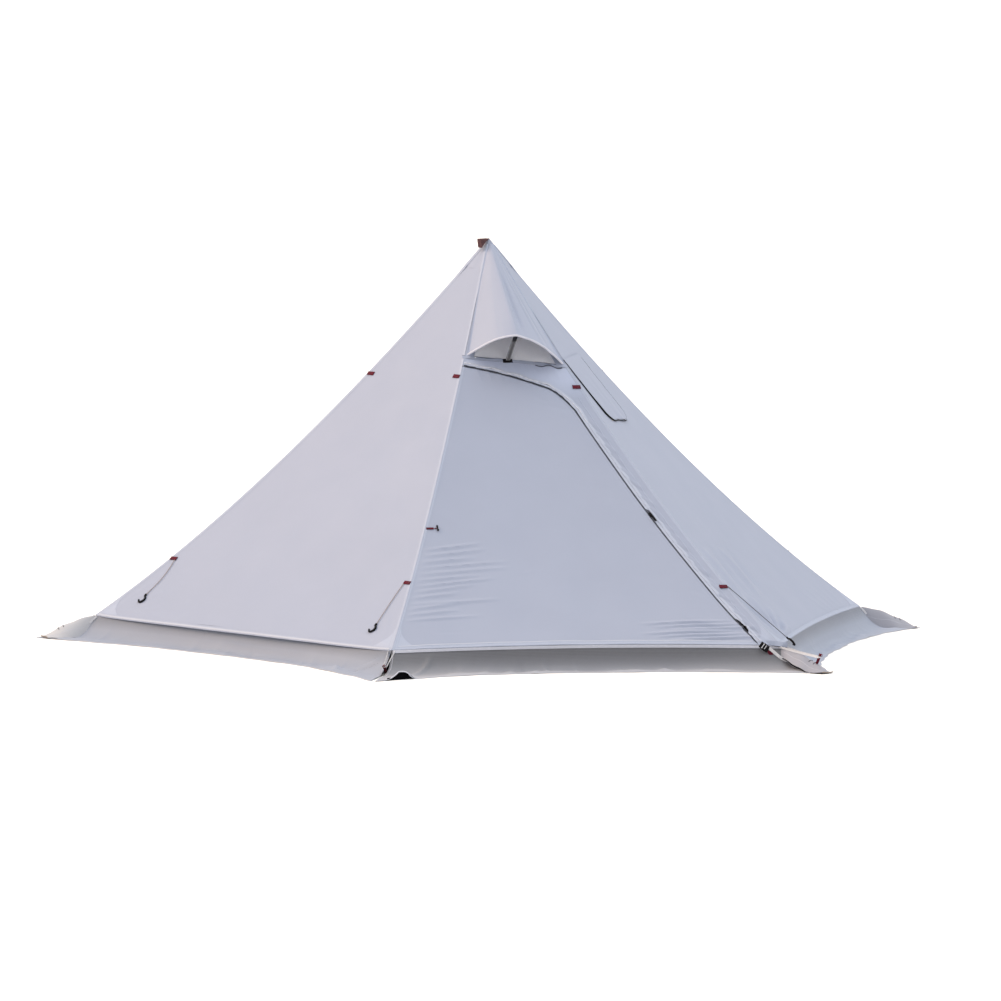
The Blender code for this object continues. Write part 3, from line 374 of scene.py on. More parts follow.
class Folds:
    """Soft creases on one side, each from one place to another, and broad low swells."""

    def __init__(self, seed, swells, creases, depth):
        """Starts with low swells and faint creases, most of them slanting down from the ridges."""
        self.random = np.random.default_rng(seed)
        self.lines = []
        self.swells = []
        for _ in range(swells):
            bearing = self.random.uniform(0, math.pi)
            length = self.random.uniform(0.28, 0.8)
            self.swells.append((bearing, length, self.random.uniform(0, 2 * math.pi), SWELL_DEPTH / swells))
        for _ in range(creases):
            slope = self.random.uniform(0.3, 0.97)
            share = self.random.uniform(-0.93, 0.93)
            turn = self.random.normal(0.0, 0.5) + (0.5 if share > 0 else -0.5)
            length = self.random.uniform(0.08, 0.34)
            width = self.random.uniform(0.007, 0.016)
            start = (share * half_width(slope), slope)
            self.ray(start, turn, 0.0, length, width, self.random.uniform(-1, 1) * depth)

    def line(self, start, end, width, depth):
        self.lines.append((start, end, width, depth))

    def ray(self, corner, angle, near, far, width, depth):
        """A crease that leaves a place at an angle below the hem's direction."""
        ends = [
            (corner[0] + reach * math.cos(angle), corner[1] + reach * math.sin(angle) / SLOPE_LENGTH)
            for reach in (near, far)
        ]
        self.line(*ends, width, depth)

    def lift(self, lateral, slope):
        lateral, slope = np.broadcast_arrays(np.asarray(lateral, float), np.asarray(slope, float))
        down = slope * SLOPE_LENGTH
        total = np.zeros(lateral.shape)
        for bearing, length, phase, depth in self.swells:
            place = lateral * math.cos(bearing) + down * math.sin(bearing)
            total = total + depth * np.sin(2 * math.pi * place / length + phase)
        for start, end, width, depth in self.lines:
            run = np.array((end[0] - start[0], (end[1] - start[1]) * SLOPE_LENGTH))
            length = np.linalg.norm(run)
            run = run / length
            x = lateral - start[0]
            y = down - start[1] * SLOPE_LENGTH
            share = (x * run[0] + y * run[1]) / length
            aside = (x * -run[1] + y * run[0]) / width
            near = (np.abs(aside) < 4) & (share > 0) & (share < 1)
            crest = (1 - 0.55 * aside) * np.exp(-aside * aside)
            taper = np.clip(4 * share * (1 - share), 0, 1) ** 0.8
            total = total + np.where(near, depth * crest * taper, 0.0)
        ridge = smooth((half_width(slope) - np.abs(lateral)) / RIDGE_CALM)
        hem = smooth((1.0 - slope) * SLOPE_LENGTH / HEM_CALM)
        return total * ridge * (0.15 + 0.85 * hem)


def front_folds():
    folds = Folds(11, 6, 60, 0.0007)
    # A fan of creases from the left ridge, rising a little to the right
    for i in range(13):
        slope = 0.715 + 0.0165 * i
        start = (-half_width(slope) + 0.02, slope)
        length = 0.26 + 0.30 * folds.random.random()
        rise = 0.010 + 0.012 * folds.random.random()
        depth = 0.0044 + 0.0020 * folds.random.random()
        folds.line(start, (start[0] + length, slope - rise), 0.0085 + 0.004 * folds.random.random(), depth)
    # Slack creases above the sill towards the right
    for i in range(6):
        slope = 0.925 + 0.010 * i
        lateral = 0.33 + 0.07 * (i % 3)
        folds.line((lateral, slope + 0.004), (lateral + 0.52, slope - 0.003), 0.011, 0.0085)
    # Puckers along the fixed strip beside the right ridge
    for i in range(24):
        slope = 0.385 + 0.0255 * i + 0.006 * folds.random.random()
        inner = half_width(slope) - JAMB_WIDTH
        drop = 0.030 + 0.022 * folds.random.random()
        depth = (0.0032 + 0.0020 * folds.random.random()) * (1 if i % 3 else -1)
        folds.line((inner + 0.012, slope), (inner + 0.122, slope + drop), 0.0085, depth)
    # Puckers in the transom
    for i in range(9):
        lateral = -0.235 + 0.055 * i
        folds.line((lateral, 0.262), (lateral + 0.035, 0.305), 0.008, 0.0022)
    return folds


def right_folds():
    folds = Folds(23, 6, 60, 0.0008)
    # Tension creases that fan out of the door side's right corner
    for i in range(8):
        length = 0.34 + 0.16 * folds.random.random()
        depth = 0.0150 if i % 2 else -0.0090
        folds.ray((-0.90, 0.990), math.radians(-86 + 10.5 * i), 0.05, length, 0.021 + 0.006 * (i % 2), depth)
    # Long pleats beside the ridge
    for i in range(4):
        lateral = -0.66 + 0.145 * i
        depth = 0.0150 if i % 2 == 0 else -0.0090
        folds.line((lateral, 0.715 + 0.008 * i), (lateral - 0.16, 0.860 + 0.008 * i), 0.034, depth)
    # Creases that rise from the hem near the right corner
    for i in range(5):
        lateral = 0.42 + 0.10 * i
        folds.line((lateral, 0.985), (lateral - 0.10 + 0.03 * i, 0.90), 0.016, 0.002)
    return folds


def left_folds():
    folds = Folds(37, 6, 50, 0.0006)
    for i in range(5):
        folds.ray((-1.00, 0.985), math.radians(-64 + 13 * i), 0.0, 0.34, 0.014, 0.0022)
    for i in range(4):
        folds.ray((1.00, 0.985), math.radians(242 - 14 * i), 0.0, 0.30, 0.013, 0.0020)
    return folds


def back_folds(side):
    folds = Folds(41 + side, 5, 30, 0.0008)
    for sign in (-1, 1):
        for i in range(5):
            angle = -66 + 12 * i
            if sign > 0:
                angle = 180 - angle
            folds.ray((sign, 0.985), math.radians(angle), 0.0, 0.36, 0.016, 0.0028 if i % 2 else -0.002)
    return folds


FOLDS = [front_folds(), right_folds(), back_folds(2), back_folds(3), back_folds(4), left_folds()]


def cloth_lift(side, lateral, slope):
    """How far the cloth's inner face stands off the smooth side at a place."""
    lift = FOLDS[side].lift(lateral, slope)
    if side == FRONT:
        # The cloth is calm along the slider's travel.
        beside = (lateral - half_width(slope) + JAMB_WIDTH - 0.008) / 0.024
        along = (slope - SLIDER_SLOPE) * SLOPE_LENGTH / 0.115
        lift = lift * (1 - np.exp(-(beside**2)) * np.exp(-(along**6)))
    if side == RIGHT:
        # The cloth lies flat under the stove jack, so that no fold comes through it.
        beside = (lateral - JACK_LATERAL) / 0.26
        along = (slope - JACK_SLOPE) * SLOPE_LENGTH / 0.29
        lift = lift * (1 - np.exp(-(beside**8) - along**8))
    return lift


def on_cloth(side, lateral, slope, lift=0.0):
    """Points on the folded cloth, or lifted off it."""
    return side_point(side, lateral, slope, cloth_lift(side, lateral, slope) + lift)


# Meshes

RIBBON_SECTION = np.array(
    ((-0.5, 0.0), (-0.485, 0.4), (-0.25, 0.5), (0.25, 0.5), (0.485, 0.4),
     (0.5, 0.0), (0.485, -0.4), (0.25, -0.5), (-0.25, -0.5), (-0.485, -0.4))
)


class Shape:
    """Points and faces gathered for one piece, with places for its weave and its material numbers."""

    def __init__(self):
        self.points = []
        self.uvs = []
        self.faces = []
        self.slots = []
        self.count = 0

    def add(self, points, faces, uv=None, slot=0):
        """Adds points and groups of faces. Slot is one material number, or one for each group."""
        points = np.asarray(points, float).reshape(-1, 3)
        if uv is None:
            uv = points[:, :2]
        self.points.append(points)
        self.uvs.append(np.asarray(uv, float).reshape(-1, 2))
        groups = faces if isinstance(faces, list) else [faces]
        slots = slot if isinstance(slot, tuple) else (slot,) * len(groups)
        for group, number in zip(groups, slots):
            group = np.asarray(group, int) + self.count
            self.faces += group.tolist()
            self.slots += [number] * len(group)
        self.count += len(points)
        return self

    def slab(self, rows, thickness, towards, uv=None, slot=0, under=None):
        """A sheet of even thickness. The rows of points are its near face, and it grows towards.

        Under is the near face's material number, where it differs.
        """
        rows = np.asarray(rows, float)
        n, m = rows.shape[:2]
        down = np.gradient(rows, axis=0)
        across = np.gradient(rows, axis=1)
        normal = np.cross(down, across)
        size = np.linalg.norm(normal, axis=-1, keepdims=True)
        normal = normal / np.where(size > 0, size, 1)
        towards = np.asarray(towards, float)
        flip = (normal * towards).sum() < 0
        if flip:
            normal = -normal
        outer = rows + normal * thickness
        index = np.arange(n * m).reshape(n, m)
        a, b, c, d = index[:-1, :-1], index[:-1, 1:], index[1:, 1:], index[1:, :-1]
        quads = np.stack([a, b, c, d], axis=-1).reshape(-1, 4)
        if not flip:
            quads = quads[:, ::-1]
        rim = np.concatenate([index[0, :], index[1:, -1], index[-1, -2::-1], index[-2:0:-1, 0]])
        after = np.roll(rim, -1)
        wall = np.stack([rim, after, after + n * m, rim + n * m], axis=-1)
        if flip:
            wall = wall[:, ::-1]
        top = quads + n * m
        if uv is None:
            uv = grid_uv(rows)
        uv = np.asarray(uv, float).reshape(-1, 2)
        points = np.concatenate([rows.reshape(-1, 3), outer.reshape(-1, 3)])
        near = slot if under is None else under
        return self.add(
            points, [top, quads[:, ::-1], wall[:, ::-1]], np.concatenate([uv, uv]), (slot, near, slot)
        )

    def loft(self, rings, uv=None, slot=0, flip=False):
        """Rings of points joined into one closed skin with flat ends. Flip turns its faces over."""
        n, m = rings.shape[:2]
        index = np.arange(n * m).reshape(n, m)
        after = np.roll(index, -1, axis=1)
        quads = [index[:-1], after[:-1], after[1:], index[1:]]
        ends = [index[:1, ::-1], index[-1:]]
        if flip:
            quads = quads[:1] + quads[:0:-1]
            ends = [index[:1], index[-1:, ::-1]]
        return self.add(rings, [np.stack(quads, axis=-1).reshape(-1, 4), *ends], uv, slot)

    def ribbon(self, path, across, width, thickness, slot=0):
        """A strap along a path, with soft edges. Across is the direction of its width."""
        path = np.asarray(path, float)
        tangent = tangents(path)
        across = np.broadcast_to(np.asarray(across, float), path.shape)
        across = across - tangent * (across * tangent).sum(axis=1, keepdims=True)
        across /= np.linalg.norm(across, axis=1, keepdims=True)
        normal = np.cross(tangent, across)
        sideways = RIBBON_SECTION[None, :, :1] * width
        upwards = RIBBON_SECTION[None, :, 1:] * thickness
        points = path[:, None] + across[:, None] * sideways + normal[:, None] * upwards
        uv = np.concatenate(np.broadcast_arrays(travel(path)[:, None, None], sideways), axis=-1)
        return self.loft(points, uv, slot, flip=True)

    def band(self, path, normal, width, thickness, slot):
        """A ribbon that lies flat on a surface with this normal."""
        return self.ribbon(path, np.cross(normal, np.gradient(path, axis=0)), width, thickness, slot)

    def tube(self, path, radius, sides=8, slot=0, up=None):
        """A round rod along a path, with flat ends. Its radius may change along it."""
        path = np.asarray(path, float)
        radius = np.broadcast_to(np.asarray(radius, float), (len(path),))
        tangent = tangents(path)
        side = unit(np.cross(tangent[0], up if up is not None else helper_axis(tangent[0])))
        angle = np.arange(sides) * 2 * math.pi / sides
        travelled = travel(path)
        rings = []
        uv = []
        for i, centre in enumerate(path):
            side = unit(side - tangent[i] * side.dot(tangent[i]))
            other = np.cross(tangent[i], side)
            offset = np.cos(angle)[:, None] * side + np.sin(angle)[:, None] * other
            rings.append(centre + offset * radius[i])
            uv.append(pair(travelled[i], angle * radius[i]))
        return self.loft(np.array(rings), np.array(uv), slot)

    def block(self, size, matrix, rounding, segments=2, slot=0):
        """A box centred on the matrix, with rounded edges."""
        shape = bmesh.new()
        bmesh.ops.create_cube(shape, size=1.0)
        bmesh.ops.scale(shape, vec=Vector(size), verts=shape.verts[:])
        edges = shape.edges[:]
        bmesh.ops.bevel(shape, geom=edges, offset=rounding, segments=segments, affect="EDGES", profile=0.5)
        return self.take(shape, matrix, slot)

    def turned(self, profile, matrix, sides=28, slot=0):
        """A profile of (radius, height) points turned about Z, bottom to top, with flat ends."""
        profile = np.asarray(profile, float)
        angle = np.arange(sides) * 2 * math.pi / sides
        ring = pair(np.cos(angle), np.sin(angle))
        points = np.zeros((len(profile), sides, 3))
        points[:, :, :2] = ring[None] * profile[:, 0][:, None, None]
        points[:, :, 2] = profile[:, 1][:, None]
        return self.loft(transformed(points, matrix), pair(angle[None] * 0.02, profile[:, 1][:, None]), slot)

    def take(self, shape, matrix, slot=0):
        """Adds a bmesh, placed by a matrix, and frees it."""
        shape.verts.index_update()
        local = np.array([corner.co for corner in shape.verts])
        faces = [np.array([[corner.index for corner in face.verts]]) for face in shape.faces]
        shape.free()
        return self.add(transformed(local, matrix), faces, local[:, :2], slot)

    def piece(self, name, materials, angle=38.0):
        """The gathered mesh as an object, shaded smooth below the angle."""
        mesh = bpy.data.meshes.new(name)
        points = np.concatenate(self.points)
        mesh.from_pydata(points.tolist(), [], self.faces)
        mesh.polygons.foreach_set("material_index", np.array(self.slots, np.int32))
        layer = mesh.uv_layers.new(name="weave")
        corner = np.zeros(len(mesh.loops), np.int32)
        mesh.loops.foreach_get("vertex_index", corner)
        layer.data.foreach_set("uv", np.concatenate(self.uvs)[corner].astype(np.float32).ravel())
        for item in materials:
            mesh.materials.append(item)
        mesh.update()
        mesh.validate()
        mesh.shade_smooth()
        mesh.set_sharp_from_angle(angle=math.radians(angle))
        return add_object(name, mesh)


def add_object(name, data):
    item = bpy.data.objects.new(name, data)
    bpy.context.scene.collection.objects.link(item)
    return item


def helper_axis(direction):
    return UP if abs(direction[2]) < 0.9 else np.array((1.0, 0.0, 0.0))


def transformed(points, matrix):
    matrix = np.array(matrix, float)
    return np.asarray(points, float) @ matrix[:3, :3].T + matrix[:3, 3]


def grid_uv(rows):
    """Metres along the middle row and the middle column."""
    return pair(travel(rows[rows.shape[0] // 2])[None, :], travel(rows[:, rows.shape[1] // 2])[:, None])


def place(item, body, slot, *nodes):
    """Rides a finished piece on its body and hides the solids it stands for."""
    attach(item, body)
    if nodes:
        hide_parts(*nodes)


# Materials

# The width of one band of the wave texture at scale 1, in metres
WAVE_PERIOD = 0.314


class Paint:
    """A material with a few procedural layers over one shader."""

    def __init__(self, name, colour, roughness, metallic=0.0, sheen=0.0):
        self.material = bpy.data.materials.new(name)
        self.material.use_nodes = True
        self.tree = self.material.node_tree
        self.shader = self.tree.nodes["Principled BSDF"]
        self.shader.inputs["Base Color"].default_value = (*colour, 1.0)
        self.shader.inputs["Roughness"].default_value = roughness
        self.shader.inputs["Metallic"].default_value = metallic
        self.shader.inputs["Sheen Weight"].default_value = sheen
        self.colour = colour
        self.colour_from = None
        self.bump_from = None
        coordinates = self.node("ShaderNodeTexCoord")
        self.spaces = {"uv": coordinates.outputs["UV"], "object": coordinates.outputs["Object"]}

    def node(self, kind, **settings):
        made = self.tree.nodes.new(kind)
        for key, value in settings.items():
            setattr(made, key, value)
        return made

    def link(self, source, target):
        self.tree.links.new(source, target)

    def noise(self, scale, detail=3.0, stretch=(1, 1, 1), roughness=0.5):
        mapping = self.node("ShaderNodeMapping")
        mapping.inputs["Scale"].default_value = stretch
        self.link(self.spaces["object"], mapping.inputs["Vector"])
        noise = self.node("ShaderNodeTexNoise")
        noise.inputs["Scale"].default_value = scale
        noise.inputs["Detail"].default_value = detail
        noise.inputs["Roughness"].default_value = roughness
        self.link(mapping.outputs["Vector"], noise.inputs["Vector"])
        return noise.outputs["Fac"]

    def wave(self, length, direction="X", turn=0.0):
        """Soft bands across the weave, one to each length."""
        mapping = self.node("ShaderNodeMapping")
        mapping.inputs["Rotation"].default_value = (0, 0, turn)
        self.link(self.spaces["uv"], mapping.inputs["Vector"])
        wave = self.node("ShaderNodeTexWave", bands_direction=direction)
        wave.inputs["Scale"].default_value = WAVE_PERIOD / length
        self.link(mapping.outputs["Vector"], wave.inputs["Vector"])
        return wave.outputs["Fac"]

    def ramp(self, source, low, high):
        ramp = self.node("ShaderNodeMapRange")
        ramp.inputs["From Min"].default_value = low
        ramp.inputs["From Max"].default_value = high
        self.link(source, ramp.inputs["Value"])
        return ramp.outputs["Result"]

    def maths(self, operation, first, second):
        node = self.node("ShaderNodeMath", operation=operation)
        for socket, value in zip(node.inputs, (first, second)):
            if isinstance(value, (int, float)):
                socket.default_value = value
            else:
                self.link(value, socket)
        return node.outputs["Value"]

    def tint(self, factor, colour, amount=1.0):
        """Mixes another colour in where the factor is high."""
        mix = self.node("ShaderNodeMix", data_type="RGBA")
        self.link(self.maths("MULTIPLY", factor, amount), mix.inputs["Factor"])
        if self.colour_from is None:
            mix.inputs["A"].default_value = (*self.colour, 1.0)
        else:
            self.link(self.colour_from, mix.inputs["A"])
        mix.inputs["B"].default_value = (*colour, 1.0)
        self.colour_from = mix.outputs["Result"]
        self.link(self.colour_from, self.shader.inputs["Base Color"])

    def rough(self, factor, low, high):
        spread = self.node("ShaderNodeMapRange")
        spread.inputs["To Min"].default_value = low
        spread.inputs["To Max"].default_value = high
        self.link(factor, spread.inputs["Value"])
        self.link(spread.outputs["Result"], self.shader.inputs["Roughness"])

    def bump(self, factor, strength, distance):
        bump = self.node("ShaderNodeBump")
        bump.inputs["Strength"].default_value = strength
        bump.inputs["Distance"].default_value = distance
        self.link(factor, bump.inputs["Height"])
        if self.bump_from is not None:
            self.link(self.bump_from, bump.inputs["Normal"])
        self.bump_from = bump.outputs["Normal"]
        self.link(self.bump_from, self.shader.inputs["Normal"])


def scaled(colour, share):
    return tuple(share * c for c in colour)


def cloth_paint(name, colour, cloud=0.05, thread=0.0005, grain=0.12, stitches=(), fade=()):
    """Coated polyester: a plain weave with a heavier thread every few millimetres, and faint clouding.

    Stitches are the places across the piece, in metres, of rows of sewing. Fade gives
    (start, end, share of the colour) across the piece as painted light and shade: the colour
    is scaled by the share before its start, darker for a share below one, lighter above one.
    """
    paint = Paint(name, colour, 0.62, sheen=0.08)
    darker = scaled(colour, 0.80)
    lighter = tuple(min(1.12 * c, 1.0) for c in colour)
    paint.tint(paint.ramp(paint.noise(1.3, 4.0), 0.40, 0.75), darker, cloud * 3)
    paint.tint(paint.ramp(paint.noise(9.0, 5.0, roughness=0.65), 0.50, 0.80), lighter, cloud * 3)
    if fade:
        across = paint.node("ShaderNodeSeparateXYZ")
        paint.link(paint.spaces["uv"], across.inputs["Vector"])
        for start, end, share in fade:
            near = paint.ramp(across.outputs["Y"], end, start)
            paint.tint(near, scaled(colour, share), 1.0)
    warp = paint.wave(thread, "X")
    weft = paint.wave(thread, "Y")
    weave = paint.maths("MULTIPLY", warp, weft)
    heavy = paint.maths(
        "MAXIMUM",
        paint.ramp(paint.wave(thread * 10, "X"), 0.94, 1.0),
        paint.ramp(paint.wave(thread * 10, "Y"), 0.94, 1.0),
    )
    paint.tint(heavy, lighter, 0.25)
    paint.tint(weave, darker, 0.10)
    paint.bump(weave, grain, 0.00015)
    paint.bump(heavy, grain, 0.0002)
    paint.bump(paint.noise(26.0, 4.0), 0.05, 0.004)
    paint.rough(paint.noise(5.0, 3.0), 0.54, 0.70)
    if stitches:
        places = paint.node("ShaderNodeSeparateXYZ")
        paint.link(paint.spaces["uv"], places.inputs["Vector"])
        row = 0.0
        for stitch in stitches:
            away = paint.maths("ABSOLUTE", paint.maths("SUBTRACT", places.outputs["Y"], stitch), 0.0)
            row = paint.maths("MAXIMUM", paint.maths("LESS_THAN", away, 0.0006), row)
        dashes = paint.maths("MULTIPLY", row, paint.ramp(paint.wave(0.004, "X"), 0.35, 0.5))
        paint.tint(dashes, scaled(colour, 0.45), 0.8)
        paint.bump(row, 0.4, 0.0004)
    return paint.material


def webbing_paint(name, colour, rib=0.0016):
    """Woven tape: ribs across it, a herringbone of fine yarn, and a paler worn edge."""
    paint = Paint(name, colour, 0.74, sheen=0.12)
    ribs = paint.wave(rib, "X")
    yarn = paint.wave(rib * 0.5, "DIAGONAL")
    paint.tint(ribs, scaled(colour, 0.62), 0.6)
    paint.tint(yarn, tuple(min(1.5 * c + 0.02, 1.0) for c in colour), 0.25)
    worn = tuple(min(1.3 * c + 0.03, 1.0) for c in colour)
    paint.tint(paint.ramp(paint.noise(40.0), 0.55, 0.8), worn, 0.35)
    paint.bump(ribs, 0.5, 0.0003)
    paint.bump(yarn, 0.3, 0.0001)
    return paint.material


def plastic_paint(name, colour, roughness=0.42):
    paint = Paint(name, colour, roughness)
    paint.tint(paint.ramp(paint.noise(90.0, 4.0), 0.55, 0.85), tuple(c + 0.012 for c in colour), 0.6)
    paint.rough(paint.noise(160.0, 3.0), roughness - 0.06, roughness + 0.14)
    paint.bump(paint.noise(700.0, 2.0), 0.12, 0.0002)
    return paint.material


def elastic_paint(name, colour, fleck):
    """Braided shock cord: a sheath with flecks that wind round it both ways."""
    paint = Paint(name, colour, 0.7)
    one = paint.wave(0.0022, "DIAGONAL")
    other = paint.wave(0.0022, "DIAGONAL", turn=math.pi / 2)
    paint.tint(paint.maths("MULTIPLY", one, other), fleck, 0.5)
    paint.bump(one, 0.4, 0.0003)
    paint.bump(other, 0.4, 0.0003)
    return paint.material


def net_paint():
    """Fine net: pale yarn round small dark holes."""
    paint = Paint("vent_net", (0.78, 0.80, 0.86), 0.85)
    across = paint.ramp(paint.wave(0.0014, "X"), 0.35, 0.65)
    along = paint.ramp(paint.wave(0.0014, "Y"), 0.35, 0.65)
    holes = paint.maths("MULTIPLY", across, along)
    paint.tint(holes, (0.46, 0.47, 0.51), 0.5)
    paint.tint(paint.ramp(paint.noise(5.0), 0.4, 0.8), (0.86, 0.88, 0.93), 0.4)
    paint.bump(holes, 0.5, 0.0003)
    return paint.material


def metal_paint(name, colour, roughness, brushed=(1, 1, 30), wear=(0.6, 0.6, 0.62)):
    paint = Paint(name, colour, roughness, metallic=1.0)
    paint.tint(paint.ramp(paint.noise(60.0, 5.0, stretch=brushed), 0.60, 0.85), wear, 0.35)
    paint.rough(paint.noise(120.0, 4.0, stretch=brushed), roughness - 0.08, roughness + 0.15)
    paint.bump(paint.noise(300.0, 3.0, stretch=brushed), 0.15, 0.0002)
    return paint.material


def jack_paint():
    """Silicone-coated glass cloth, warm grey with a coarse plain weave."""
    paint = Paint("heatproof_panel", (0.42, 0.41, 0.39), 0.55)
    weave = paint.maths("MULTIPLY", paint.wave(0.0018, "X"), paint.wave(0.0018, "Y"))
    paint.tint(weave, (0.30, 0.29, 0.28), 0.6)
    paint.tint(paint.ramp(paint.noise(14.0, 4.0), 0.5, 0.8), (0.50, 0.48, 0.45), 0.5)
    paint.bump(weave, 0.5, 0.0004)
    return paint.material


CANOPY_COLOUR = (0.320, 0.359, 0.473)
SEAM_COLOUR = (0.372, 0.418, 0.540)
CANOPY = cloth_paint("canopy_cloth", CANOPY_COLOUR)
SEAM = cloth_paint("seam_cloth", SEAM_COLOUR, cloud=0.03)
# Painted light: the front strip's cloth grows paler above 0.95 m down the slope, fully so above 0.84 m, over
# the transom in the hood's shade
FRAME_CLOTH = cloth_paint("front_frame_cloth", CANOPY_COLOUR, fade=((0.84, 0.95, 1.30),))
SEAM_TAPE = cloth_paint("stitched_seam_tape", SEAM_COLOUR, cloud=0.03, stitches=(0.0030, 0.0120, 0.0240))
# White piping; the same paint also makes painted highlights, as on the rim of the skirt's arch
PIPING_AND_HIGHLIGHT = cloth_paint("white_piping_and_painted_highlight", (0.55, 0.57, 0.66), cloud=0.02)
# Painted highlight: the hem fold is canopy cloth made paler for the light lines along the hems
LIT_HEM_FOLD = cloth_paint("hem_fold_painted_light", (0.440, 0.470, 0.560), cloud=0.02)
FLAP_EDGE = cloth_paint("storm_flap_edge", (0.420, 0.462, 0.575), cloud=0.02)
THREAD = cloth_paint("pale_thread", (0.52, 0.54, 0.62), cloud=0.02, thread=0.0003)
DARK_THREAD = cloth_paint("dark_thread", (0.06, 0.06, 0.075), cloud=0.02, thread=0.0003)
NET = net_paint()
JACK = jack_paint()
RED_WEBBING = webbing_paint("red_webbing_weave", (0.105, 0.009, 0.022))
WHITE_WEBBING = webbing_paint("white_webbing_weave", (0.66, 0.67, 0.72))
GREY_WEBBING = webbing_paint("strut_webbing_weave", (0.062, 0.064, 0.072), rib=0.003)
BLACK_BINDING = webbing_paint("black_binding_weave", (0.012, 0.013, 0.018))
BLACK_PLASTIC = plastic_paint("black_plastic_moulded", (0.006, 0.006, 0.008), 0.6)
ELASTIC = elastic_paint("elastic_braid", (0.30, 0.255, 0.250), (0.14, 0.12, 0.13))
DARK_ELASTIC = elastic_paint("dark_elastic_braid", (0.045, 0.046, 0.056), (0.14, 0.13, 0.14))
# Dark zip tape; the same paint also makes the painted shade in a fold of the vent net
ZIP_TAPE_AND_FOLD_SHADE = webbing_paint("zip_tape_and_fold_shade_weave", (0.075, 0.082, 0.112), rib=0.001)
# The right run's coil is a paler copy of the dark coil, painting a soft shade line; the dark coil also
# carries painted shade from the flap across the door's top
SOFT_SHADE_COIL = plastic_paint("zip_coil_soft_painted_shade", (0.150, 0.165, 0.215), 0.5)
ZIP_COIL = plastic_paint("zip_coil_nylon", (0.035, 0.036, 0.045), 0.5)
PEG_METAL = metal_paint("anodised_peg", (0.12, 0.010, 0.022), 0.34, wear=(0.45, 0.38, 0.38))
# Painted shade: the skirts' under faces are skirt cloth made near black for the shade beneath them
UNDERSIDE_SHADE = cloth_paint("painted_shade_underside", (0.022, 0.023, 0.026), cloud=0.05)
ALUMINIUM = metal_paint("brushed_aluminium", (0.62, 0.63, 0.65), 0.34)
RUBBER = plastic_paint("foot_rubber", (0.020, 0.020, 0.020), 0.8)


def dull(material, level):
    """Dark matt stuff mirrors less of the sky than a smooth surface would."""
    shader = material.node_tree.nodes["Principled BSDF"].inputs
    shader["Specular IOR Level"].default_value = level
    shader["Sheen Weight"].default_value = 0.0


DULL_MATERIALS = (BLACK_PLASTIC, BLACK_BINDING, DARK_THREAD, ZIP_TAPE_AND_FOLD_SHADE, ZIP_COIL, RED_WEBBING, DARK_ELASTIC)
for dark_material in DULL_MATERIALS:
    dull(dark_material, 0.12)


# Camera, floor and light

def make_camera():
    level = math.cos(CAMERA_ELEVATION)
    back = np.array(
        (math.sin(CAMERA_AZIMUTH) * level, -math.cos(CAMERA_AZIMUTH) * level, math.sin(CAMERA_ELEVATION))
    )
    right = unit(np.cross(UP, back))
    up = np.cross(back, right)
    turned_right = right * math.cos(CAMERA_ROLL) + up * math.sin(CAMERA_ROLL)
    turned_up = up * math.cos(CAMERA_ROLL) - right * math.sin(CAMERA_ROLL)
    data = bpy.data.cameras.new("camera")
    data.sensor_width = SENSOR
    data.lens = FOCAL_LENGTH_PIXELS * SENSOR / IMAGE_SIZE
    data.clip_end = 2000.0
    camera = add_object("camera", data)
    stand = Vector(CAMERA_TARGET) + Vector(back) * CAMERA_DISTANCE
    camera.matrix_world = axes_matrix(turned_right, turned_up, back, stand)
    bpy.context.scene.camera = camera


FLOOR_SIZE = 1600.0


def make_floor():
    mesh = bpy.data.meshes.new("floor")
    shape = bmesh.new()
    bmesh.ops.create_grid(shape, x_segments=1, y_segments=1, size=FLOOR_SIZE / 2)
    shape.to_mesh(mesh)
    shape.free()
    paint = Paint("floor_paint", (0.96, 0.96, 0.96), 0.9)
    paint.shader.inputs["Specular IOR Level"].default_value = 0.0
    mesh.materials.append(paint.material)
    floor = add_object("floor", mesh)


def make_sun(name, towards, strength, colour, softness):
    """A broad soft light that shines from a direction."""
    data = bpy.data.lights.new(name, "SUN")
    data.energy = strength
    data.color = colour
    data.angle = math.radians(softness)
    lamp = add_object(name, data)
    lamp.rotation_mode = "QUATERNION"
    lamp.rotation_quaternion = Vector(towards).to_track_quat("Z", "Y")


def light_from(bearing, elevation):
    bearing, elevation = math.radians(bearing), math.radians(elevation)
    return (
        math.cos(bearing) * math.cos(elevation),
        math.sin(bearing) * math.cos(elevation),
        math.sin(elevation),
    )


SKY_LIGHT = 0.62


def make_light():
    world = bpy.data.worlds.new("studio")
    bpy.context.scene.world = world
    world.use_nodes = True
    background = world.node_tree.nodes["Background"]
    background.inputs["Color"].default_value = (1.0, 1.0, 1.0, 1.0)
    background.inputs["Strength"].default_value = SKY_LIGHT
    make_sun("overhead_light", light_from(-100, 80), 1.2, (1.0, 1.0, 1.0), 70)
    make_sun("left_light", light_from(158, 36), 2.4, (1.0, 0.74, 0.52), 40)
    make_sun("right_light", light_from(20, 38), 0.74, (1.0, 0.98, 0.95), 50)
    bpy.context.scene.view_settings.view_transform = "Standard"


make_camera()
make_floor()
make_light()


# Elastic cords and their hooks

def loop_side(corner):
    """The side that a corner's loops fold over to, and the sign of its lateral axis there."""
    if CORNER_NAMES[corner] in ("left", "right"):
        return corner, -1
    return (corner - 1) % SIDES, 1


def cord_curve(name, points, material):
    curve = bpy.data.curves.new(name, "CURVE")
    curve.dimensions = "3D"
    curve.bevel_depth = CORD_RADIUS
    curve.bevel_resolution = 3
    curve.use_fill_caps = True
    spline = curve.splines.new("POLY")
    spline.points.add(len(points) - 1)
    for slot, point in zip(spline.points, points):
        slot.co = (*point, 1.0)
    curve.materials.append(material)
    return add_object(name, curve)


